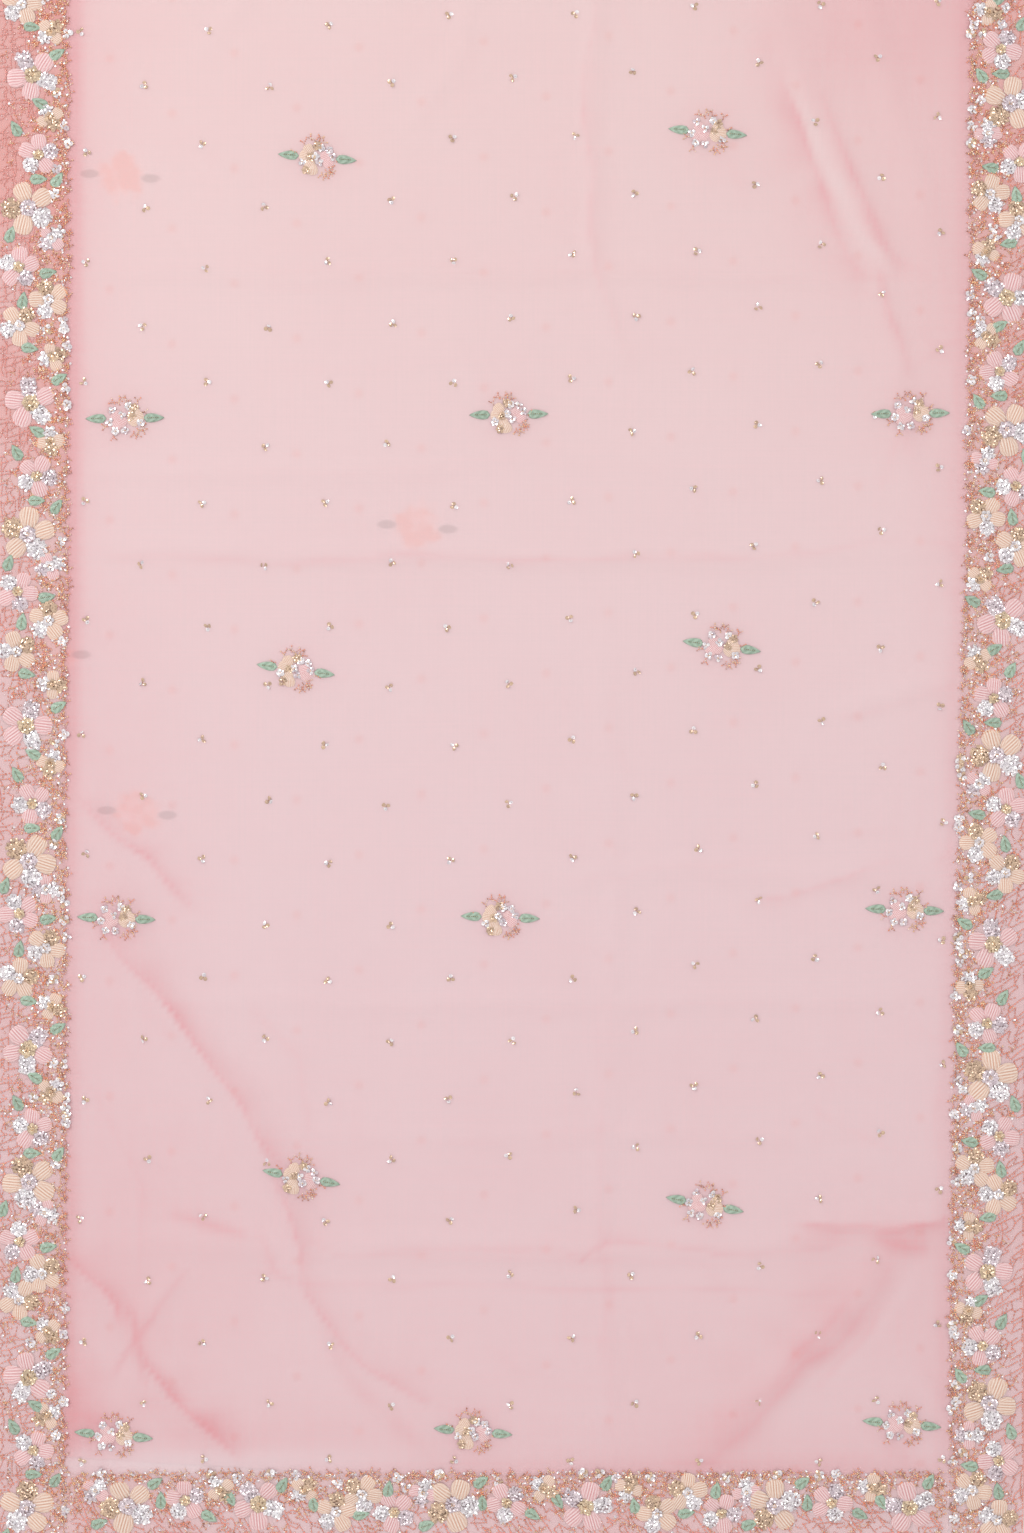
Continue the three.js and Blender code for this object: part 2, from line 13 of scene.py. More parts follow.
import bpy
import numpy as np
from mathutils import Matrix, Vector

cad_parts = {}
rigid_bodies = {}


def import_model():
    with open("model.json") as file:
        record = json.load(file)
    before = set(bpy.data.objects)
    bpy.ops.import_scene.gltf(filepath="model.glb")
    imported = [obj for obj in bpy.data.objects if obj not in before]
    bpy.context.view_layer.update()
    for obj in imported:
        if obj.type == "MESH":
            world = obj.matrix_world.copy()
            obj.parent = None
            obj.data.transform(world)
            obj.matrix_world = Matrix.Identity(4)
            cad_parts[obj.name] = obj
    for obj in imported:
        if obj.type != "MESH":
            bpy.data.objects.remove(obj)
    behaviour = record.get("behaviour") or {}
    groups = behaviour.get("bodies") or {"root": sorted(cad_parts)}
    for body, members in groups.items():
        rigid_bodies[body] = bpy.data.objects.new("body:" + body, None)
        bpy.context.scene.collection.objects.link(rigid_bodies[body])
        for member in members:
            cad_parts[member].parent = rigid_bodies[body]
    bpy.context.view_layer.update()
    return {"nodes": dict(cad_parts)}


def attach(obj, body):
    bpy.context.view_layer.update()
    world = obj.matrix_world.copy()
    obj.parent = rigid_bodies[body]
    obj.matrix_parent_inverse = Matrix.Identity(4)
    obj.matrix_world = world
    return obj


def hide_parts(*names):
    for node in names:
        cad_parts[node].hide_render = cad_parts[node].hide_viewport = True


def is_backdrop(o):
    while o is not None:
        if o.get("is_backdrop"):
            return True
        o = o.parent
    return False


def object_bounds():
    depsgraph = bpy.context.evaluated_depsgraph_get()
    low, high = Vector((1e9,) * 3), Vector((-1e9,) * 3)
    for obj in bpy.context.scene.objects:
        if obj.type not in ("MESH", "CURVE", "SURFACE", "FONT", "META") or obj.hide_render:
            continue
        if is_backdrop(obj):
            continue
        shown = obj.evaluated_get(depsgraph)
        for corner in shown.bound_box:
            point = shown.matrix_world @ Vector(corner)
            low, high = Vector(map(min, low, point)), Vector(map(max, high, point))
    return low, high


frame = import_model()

print("solids:", sorted(frame["nodes"]))

# %% [markdown]
# ## Camera
# A garment on a table is shown from straight above, so that its edges stay parallel. A
# long lens held far away keeps the bands from leaning, and an orthographic camera would also do.
# The lens is worked out from the height and from how much cloth the frame takes in.

# %% Camera straight above the cloth
MM = 0.001
VIEW_CENTRE = (-5.5, -119.2)
VIEW_TALL = 1634.0
CAMERA_HEIGHT, CLOTH_TOP = 3500.0, 4.6
SENSOR = 36.0


def put(name, data):
    """A new object at the origin, linked to the scene."""
    thing = bpy.data.objects.new(name, data)
    bpy.context.scene.collection.objects.link(thing)
    return thing


def mesh_of(name, points, lines=(), faces=()):
    """A mesh from points in millimetres."""
    mesh = bpy.data.meshes.new(name)
    mesh.from_pydata((np.asarray(points) * MM).tolist(), list(lines), list(faces))
    return mesh


camera_data = bpy.data.cameras.new("camera")
camera_data.sensor_width = SENSOR
camera_data.lens = SENSOR * CAMERA_HEIGHT / VIEW_TALL
camera_data.clip_end = 50.0
camera = put("camera", camera_data)
camera.location = (VIEW_CENTRE[0] * MM, VIEW_CENTRE[1] * MM, (CAMERA_HEIGHT + CLOTH_TOP) * MM)
bpy.context.scene.camera = camera
print(f"lens {camera_data.lens:.1f} mm, and the frame takes in {VIEW_TALL} mm from top to bottom")

# %% [markdown]
# ## How the cloth lies
# Every sheet and every stitch needs the same two answers: where an edge runs, and how high the
# cloth is at a place. Tables in millimetres give both. They repeat the sizes of the solids, so each
# finer piece lands on its solid, and one function turns a place on the cloth into a point.

# %% Sizes of the lie, in millimetres
END_Y, FOLD_Y, RAW_END_Y = -950.0, 947.5, 925.0  # the pallu's end, the top fold and the raw end inside
BAND = 80.0
SEAM = 0.3  # between one solid and the next
STACK, REST = 3.6, 3.9  # tops of the hidden layers and of the seam above them
CURL = 60.0  # cloth that turns under at the top fold
SLACK, GATHER = 8.0, 28.0  # where the front starts to sink past the lower fold, and over how far

EDGES = {  # y, then x of the left and of the right edge
    "front": [(-950, -560, 540), (-700, -560, 540), (-400, -558, 543), (-120, -559, 549), (150, -557, 557),
              (480, -556, 561), (950, -557, 561)],
    "second": [(-950, -548, 571), (-500, -550, 568), (0, -551, 566), (500, -554, 563), (950, -557, 561)],
    "third": [(-950, -548, 571), (-400, -555, 564), (200, -563, 556), (950, -571, 547)],
}
LOWER_FOLD = [(-571, -850), (-123, -877), (571, -893)]


def ease(f):
    """A step from 0 to 1 that starts and ends gently."""
    f = np.clip(f, 0.0, 1.0)
    return f * f * (3.0 - 2.0 * f)


def edge(stretch, side, y):
    """Where a stretch's left or right edge is, at a height up the cloth."""
    rows = np.array(EDGES[stretch], float)
    column = 1 if side == "left" else 2
    y = np.clip(y, rows[0, 0], rows[-1, 0])
    i = np.clip(np.searchsorted(rows[:, 0], y, side="right") - 1, 0, len(rows) - 2)
    f = ease((y - rows[i, 0]) / (rows[i + 1, 0] - rows[i, 0]))
    return rows[i, column] + (rows[i + 1, column] - rows[i, column]) * f


def lower_fold(x):
    """Where the second stretch turns to become the third: y at a place across the cloth."""
    return np.interp(x, [p[0] for p in LOWER_FOLD], [p[1] for p in LOWER_FOLD])


def underside(x, y):
    """Height of the front stretch's underside: on the layers beneath, then down past their fold."""
    return REST * (1.0 - ease((lower_fold(x) - SLACK - y) / GATHER))


print(f"cloth is {edge('front', 'right', 480.0) - edge('front', 'left', 480.0):.0f} mm wide at y = 480")

# %% [markdown]
# ## Creases
# Organza keeps the marks of its folding: long soft ridges, straight where it was packed and curved
# where it was dragged. They could come from a noise texture, but noise looks alike everywhere.
# Each ridge here is a listed line with its own height and width, and a fold mark is a
# ridge so low that only its colour shows, deeper pink with painted shade.

# %% Crease lines: height, half width and the line of the crest
CREASES = [
    (2.2, 12, [(-471, 410), (-230, 403), (90, 407), (476, 398)]),
    (1.6, 11, [(-471, 197), (-285, 191), (-40, 198)]),
    (2.6, 13, [(-471, 115), (-124, 106), (197, 102), (472, 115)]),
    (2.0, 14, [(48, -241), (197, -228), (390, -240)]),
    (1.8, 12, [(-466, -369), (-4, -372), (452, -367)]),
    (1.2, 11, [(-230, -513), (305, -516)]),
    (3.0, 16, [(-471, -626), (-230, -632), (90, -636), (410, -624)]),
    (2.2, 13, [(78, 930), (82, 690), (80, 401), (112, 316)]),
    (1.6, 13, [(90, 16), (103, -262), (90, -583), (103, -855)]),
    (4.5, 19, [(-460, -144), (-391, -348), (-300, -470), (-245, -560), (-230, -658), (-95, -845)]),
    (3.8, 17, [(-476, -636), (-412, -722), (-306, -848)]),
    (2.5, 14, [(-405, -716), (-354, -650)]),
    (4.0, 19, [(411, -626), (300, -750), (198, -850)]),
    (2.8, 15, [(315, -606), (390, -611), (462, -598)]),
    (3.2, 17, [(228, 850), (272, 701), (390, 423), (417, 187)]),
    (3.0, 16, [(330, 860), (369, 701), (452, 412)]),
    (2.5, 14, [(337, -64), (411, -39), (466, -32)]),
    (2.0, 14, [(50, -640), (100, -690), (150, -738)]),
    (1.8, 13, [(-330, 640), (-250, 760), (-215, 900)]),
    (1.6, 12, [(-120, 560), (-60, 640), (-40, 740)]),
]


def off_line(line, x, y):
    """Distance to a line of segments, the distance with a side to it, and how far along it is."""
    line = np.array(line, float)
    lengths = np.hypot(*(line[1:] - line[:-1]).T)
    starts = np.concatenate([[0.0], np.cumsum(lengths)])
    best = np.full(np.shape(x), 1e9)
    side, along = np.zeros(np.shape(x)), np.zeros(np.shape(x))
    for i, length in enumerate(lengths):
        (ax, ay), (bx, by) = line[i], line[i + 1]
        f = np.clip(((x - ax) * (bx - ax) + (y - ay) * (by - ay)) / length**2, 0.0, 1.0)
        px, py = x - ax - (bx - ax) * f, y - ay - (by - ay) * f
        distance = np.hypot(px, py)
        nearer = distance < best
        across = ((bx - ax) * py - (by - ay) * px) / length
        best = np.where(nearer, distance, best)
        side = np.where(nearer, across, side)
        along = np.where(nearer, (starts[i] + f * length) / starts[-1], along)
    return best, side, along


def inside_bands(x, y):
    """How far a place is from the bands and from the top fold."""
    return np.minimum.reduce([
        x - edge("front", "left", y) - BAND, edge("front", "right", y) - BAND - x,
        y - END_Y - BAND, FOLD_Y - 40.0 - y,
    ])


def wander(x, y):
    """Bends a ruled line a few millimetres either way, because cloth never folds dead straight."""
    return (x + 1.7 * np.sin(y / 31.0 + 2.0 * np.sin(x / 47.0)) + 0.9 * np.sin(y / 11.3 + x / 29.0),
            y + 1.7 * np.sin(x / 37.0 + 1.3 * np.sin(y / 53.0)) + 0.9 * np.sin(x / 13.1 - y / 23.0))


def swell(along):
    """0 at both ends of a line and 1 in its middle."""
    return np.sqrt(np.sin(np.pi * np.clip(along, 0.0, 1.0)))


def crease_height(x, y):
    """How far the ridges lift the cloth at a place. They fade out before they reach a band."""
    rise = np.zeros(np.shape(x))
    inside = inside_bands(x, y)
    x, y = wander(x, y)
    for h, w, line in CREASES:
        distance, _, along = off_line(line, x, y)
        rise = np.maximum(rise, h * ease(1.0 - distance / (w * 1.6)) * (0.35 + 0.65 * swell(along)))
    return rise * ease(inside / 22.0)


def place(x, y, n):
    """A point of the front stretch, n above its underside. Past the top fold it turns under."""
    x, y = np.broadcast_arrays(np.asarray(x, float), np.asarray(y, float))
    angle = np.pi * np.clip(y - FOLD_Y, 0.0, CURL) / CURL
    radius = SEAM + n
    flat = y <= FOLD_Y
    z = np.where(flat, underside(x, y) + crease_height(x, y) + n, STACK + radius * np.cos(angle))
    return np.stack([x, np.where(flat, y, FOLD_Y + radius * np.sin(angle)), z], axis=-1)


print(f"{len(CREASES)} creases, the highest {max(c[0] for c in CREASES)} mm")

# %% [markdown]
# ## Writing node trees as sums
# Materials and Geometry Nodes are both graphs, and a graph is slow to read in a script. A small
# class wraps one output socket, so that `1 - mask * 0.4` adds its own Math nodes. One method
# makes every other node from its type, its settings and what goes into its sockets.

# %% A wire and a bench to build trees on
class Wire:
    """One output socket. Arithmetic on it adds Math nodes to its tree."""

    def __init__(self, bench, socket):
        self.bench, self.socket = bench, socket

    def sum_with(self, operation, first, second):
        return self.bench.add("ShaderNodeMath", {"operation": operation}, {0: first, 1: second})

    def __add__(self, other): return self.sum_with("ADD", self, other)
    def __radd__(self, other): return self.sum_with("ADD", other, self)
    def __sub__(self, other): return self.sum_with("SUBTRACT", self, other)
    def __rsub__(self, other): return self.sum_with("SUBTRACT", other, self)
    def __mul__(self, other): return self.sum_with("MULTIPLY", self, other)
    def __rmul__(self, other): return self.sum_with("MULTIPLY", other, self)
    def __truediv__(self, other): return self.sum_with("DIVIDE", self, other)
    def __rtruediv__(self, other): return self.sum_with("DIVIDE", other, self)
    def __pow__(self, other): return self.sum_with("POWER", self, other)


class Bench:
    """A node tree being built."""

    def __init__(self, tree):
        self.tree = tree

    def add(self, kind, settings=None, sockets=None, out=0):
        """One node. Settings are set first, then sockets get a value or a wire."""
        node = self.tree.nodes.new(kind)
        for key, value in (settings or {}).items():
            if key == "stops":
                ramp = node.color_ramp
                while len(ramp.elements) < len(value):
                    ramp.elements.new(0.5)
                for element, (position, colour) in zip(ramp.elements, value):
                    element.position, element.color = position, colour
            else:
                setattr(node, key, value)
        for key, value in (sockets or {}).items():
            if isinstance(value, Wire):
                self.tree.links.new(value.socket, node.inputs[key])
            else:
                node.inputs[key].default_value = value
        return Wire(self, node.outputs[out]) if len(node.outputs) else node

    def step(self, value, low, high):
        """0 below low, 1 above high, eased between."""
        return self.add("ShaderNodeMapRange", {"interpolation_type": "SMOOTHSTEP"},
                        {"Value": value, "From Min": low, "From Max": high})

    def blend(self, share, under, over, how="MIX"):
        return self.add("ShaderNodeMix", {"data_type": "RGBA", "blend_type": how},
                        {0: share, 6: under, 7: over}, out=2)

    def apart(self, vector):
        """The x and y of a vector."""
        return [self.add("ShaderNodeSeparateXYZ", None, {0: vector}, out=i) for i in (0, 1)]

    def vector(self, x=0.0, y=0.0, z=0.0):
        return self.add("ShaderNodeCombineXYZ", None, {0: x, 1: y, 2: z})

    def here(self):
        """The place on the object, in metres."""
        return self.add("ShaderNodeTexCoord", out=3)

    def noise(self, where, scale, detail=2.0):
        return self.add("ShaderNodeTexNoise", None, {"Vector": where, "Scale": scale, "Detail": detail})

    def kept(self, name, out=2):
        """What the mesh keeps under a name: output 2 is a number and output 0 a colour."""
        return self.add("ShaderNodeAttribute", {"attribute_name": name}, out=out)

    def bump(self, strength, distance, height):
        return self.add("ShaderNodeBump", None, {
            "Strength": strength, "Distance": distance, "Height": height})


def tone(red, green, blue):
    """A screen colour, 0 to 255, as the linear colour that shaders take."""
    parts = [c / 255.0 for c in (red, green, blue)]
    return tuple(p / 12.92 if p <= 0.04045 else ((p + 0.055) / 1.055) ** 2.4 for p in parts) + (1.0,)


def new_finish(name):
    """An empty material: its bench, and a function that closes it with one Principled shader."""
    material = bpy.data.materials.new(name)
    material.use_nodes = True
    material.node_tree.nodes.clear()
    bench = Bench(material.node_tree)

    def close(sockets):
        shader = bench.add("ShaderNodeBsdfPrincipled", None, sockets)
        bench.add("ShaderNodeOutputMaterial", None, {"Surface": shader})
        return material

    return bench, close


print("a socket now adds up like a number, and tone(234, 205, 207) is",
      [round(v, 3) for v in tone(234, 205, 207)[:3]])

# %% [markdown]
# ## Organza
# Organza is a plain weave of very fine, stiff yarns with open gaps. Up close it is a net, but at
# arm's length it is a tinted veil: part see-through, with faint streaks where a yarn is thicker.
# Modelling yarns would take millions of faces, so the veil is an Alpha below one. Slubs,
# folds and the blush where layers gather are painted by nodes on places in the cloth, and on the
# front the folds and blush carry painted shade as well.

# %% Veil finish shared by the organza pieces
def slubs(bench, where):
    """Thick and thin yarns: noise drawn out along the warp and along the weft, around 0.5."""
    warp = bench.add("ShaderNodeMapping", None, {"Vector": where, "Scale": (420.0, 9.0, 1.0)})
    weft = bench.add("ShaderNodeMapping", None, {"Vector": where, "Scale": (7.0, 380.0, 1.0)})
    return (bench.noise(warp, 1.0) + bench.noise(weft, 1.0)) * 0.5


CREAMIER = (1.01, 1.0, 0.95, 1.0)


def organza(name, pale, deep, alpha):
    """A veil that runs from a pale to a deep tint with blush and painted shade, a little creamier at its top.
    """
    bench, close = new_finish(name)
    where = bench.here()
    streak = slubs(bench, where)
    depth = bench.kept("blush") + (bench.noise(where, 6.0, 3.0) - 0.5) * 0.16 + (streak - 0.5) * 0.30
    off = bench.kept("crease_off")
    # The fold line: deeper pink along each sharp fold, partly doubled cloth and partly painted shade.
    fold = 1.0 / (1.0 + (off * off) * 0.11) * bench.kept("crease_share")
    warm = bench.step(bench.apart(where)[1], -0.5, 0.9)
    pale = bench.blend(warm, pale, [a * b for a, b in zip(pale, CREAMIER)])
    return close({
        "Base Color": bench.blend(bench.step(depth + fold * 0.16, 0.0, 1.0), pale, deep),
        "Alpha": (alpha + (streak - 0.5) * 0.10 + fold * 0.05) * bench.kept("cover"),
        "Roughness": 0.62, "Sheen Weight": 0.25, "Sheen Roughness": 0.4, "Specular IOR Level": 0.25,
        "Normal": bench.bump(0.10, 0.0006, streak + fold),
    })


veil = organza("organza veil", tone(236, 212, 216), tone(228, 158, 164), 0.64)
band_veil = organza("band ground", tone(232, 206, 208), tone(232, 160, 152), 0.6)
print("finishes:", [m.name for m in (veil, band_veil)])

# %% [markdown]
# ## Hidden stretches
# Beneath the front lie two more stretches, with the same flowers seen from their backs. Through a
# veil those are only soft warm smudges, so they are painted and not modelled. A repeat is
# found with a fraction: the place is divided by the pitch, and only its remainder is used.

# %% Finish with the ghosts of the flowers beneath
GHOSTS = [(-423.0, 511.0), (-106.0, 137.0), (-405.0, -168.0), (-497.0, 3.0)]
GHOST_LOBES = [(-17.0, 5.0), (15.0, -6.0), (3.0, 18.0), (-4.0, -19.0)]
DOT_PITCH, DOT_START, DOT_TILT = (133.0, 123.0), (31.0, -21.0), 0.045


def smudge(bench, x, y, centre, across, up, soft):
    """A soft oval around a centre, given in millimetres."""
    dx, dy = (x - centre[0]) / across, (y - centre[1]) / up
    return 1.0 - bench.step((dx * dx + dy * dy) ** 0.5, 1.0 - soft, 1.0 + soft)


def to_nearest(value, pitch):
    """How far a place is from the middle of its repeat, in millimetres."""
    part = value.bench.add("ShaderNodeMath", {"operation": "FRACT"}, {0: value / pitch + 10.0})
    return (part - 0.5) * pitch


def ghosted(name):
    bench, close = new_finish(name)
    where = bench.here()
    x, y = [axis * 1000.0 for axis in bench.apart(where)]
    grain = bench.noise(where, 110.0)
    dots = heart = leaf = 0.0
    for shift in (0.0, 0.5):
        across = to_nearest(x - DOT_START[0] + shift * DOT_PITCH[0], DOT_PITCH[0])
        up = to_nearest(y - x * DOT_TILT - DOT_START[1] + shift * DOT_PITCH[1], DOT_PITCH[1])
        dots = dots + (1.0 - bench.step((across * across + up * up) ** 0.5, 1.0, 9.0))
    rough_x = x + (bench.noise(where, 70.0, 3.0) - 0.5) * 30.0
    rough_y = y + (bench.noise(where, 83.0, 3.0) - 0.5) * 30.0
    for gx, gy in GHOSTS:
        heart = heart + smudge(bench, rough_x, rough_y, (gx, gy), 23.0, 20.0, 0.6)
        for dx, dy in GHOST_LOBES:
            heart = heart + smudge(bench, rough_x, rough_y, (gx + dx, gy + dy), 9.0, 8.0, 0.8) * 0.6
        for dx, dy in ((-33.0, 2.0), (32.0, -3.0)):
            leaf = leaf + smudge(bench, x, y, (gx + dx, gy + dy), 10.0, 4.6, 0.4)
    blush, streak = bench.kept("blush"), slubs(bench, where)
    cloth = bench.blend(bench.step(blush + (streak - 0.5) * 0.3 + (grain - 0.5) * blush, 0.0, 1.0),
                        tone(237, 212, 213), tone(230, 164, 158))
    cloth = bench.blend(bench.step(dots, 0.0, 1.4) * 0.75, cloth, tone(234, 128, 104))
    petals = bench.step(bench.noise(where, 52.0, 1.0), 0.36, 0.62)
    depth = bench.step(heart * (0.25 + grain * 0.8 + petals * 0.5), 0.0, 1.4)
    cloth = bench.blend(depth * 0.9, cloth, tone(226, 122, 76))
    cloth = bench.blend(bench.step(leaf, 0.0, 1.0) * 0.97, cloth, tone(104, 74, 60))
    return close({"Base Color": cloth, "Alpha": 0.74 + heart * 0.24 + leaf * 0.24, "Roughness": 0.65,
                  "Sheen Weight": 0.2, "Specular IOR Level": 0.25, "Normal": bench.bump(0.1, 0.0006, streak)})


hidden_veil = ghosted("organza beneath")
print(f"{len(GHOSTS)} ghosts of sprays, and dots every {DOT_PITCH[0]:.0f} mm")

# %% [markdown]
# ## The front stretch
# Cloth this flat is one grid of points with a height at each. Cloth simulation would blur the
# crease lines that matter, so the heights come from the tables. Each point also keeps how far it is
# from the nearest fold and on which side, and a shader draws from that a line finer than the grid:
# deeper pink of doubled cloth, with painted shade.

# %% Make a sheet from rows of points
def keep(mesh, key, values, kind="FLOAT", slot="value"):
    """Stores something for each point of a mesh, which nodes read by its name."""
    mesh.attributes.new(key, kind, "POINT").data.foreach_set(slot, np.asarray(values, np.float32).ravel())


def sheet_mesh(name, points, finish, values, flip=False):
    """A grid of points, rows by columns by three in millimetres, as one piece of cloth."""
    rows, columns = points.shape[:2]
    index = np.arange(rows * columns).reshape(rows, columns)
    quads = np.stack([index[:-1, :-1], index[:-1, 1:], index[1:, 1:], index[1:, :-1]], axis=-1).reshape(-1, 4)
    if flip:
        quads = quads[:, ::-1]
    mesh = mesh_of(name, points.reshape(-1, 3), faces=quads.tolist())
    for key, value in values.items():
        keep(mesh, key, value)
    mesh.shade_smooth()
    mesh.materials.append(finish)
    print(f"{name}: {len(quads) * 2} triangles")
    return put(name, mesh)
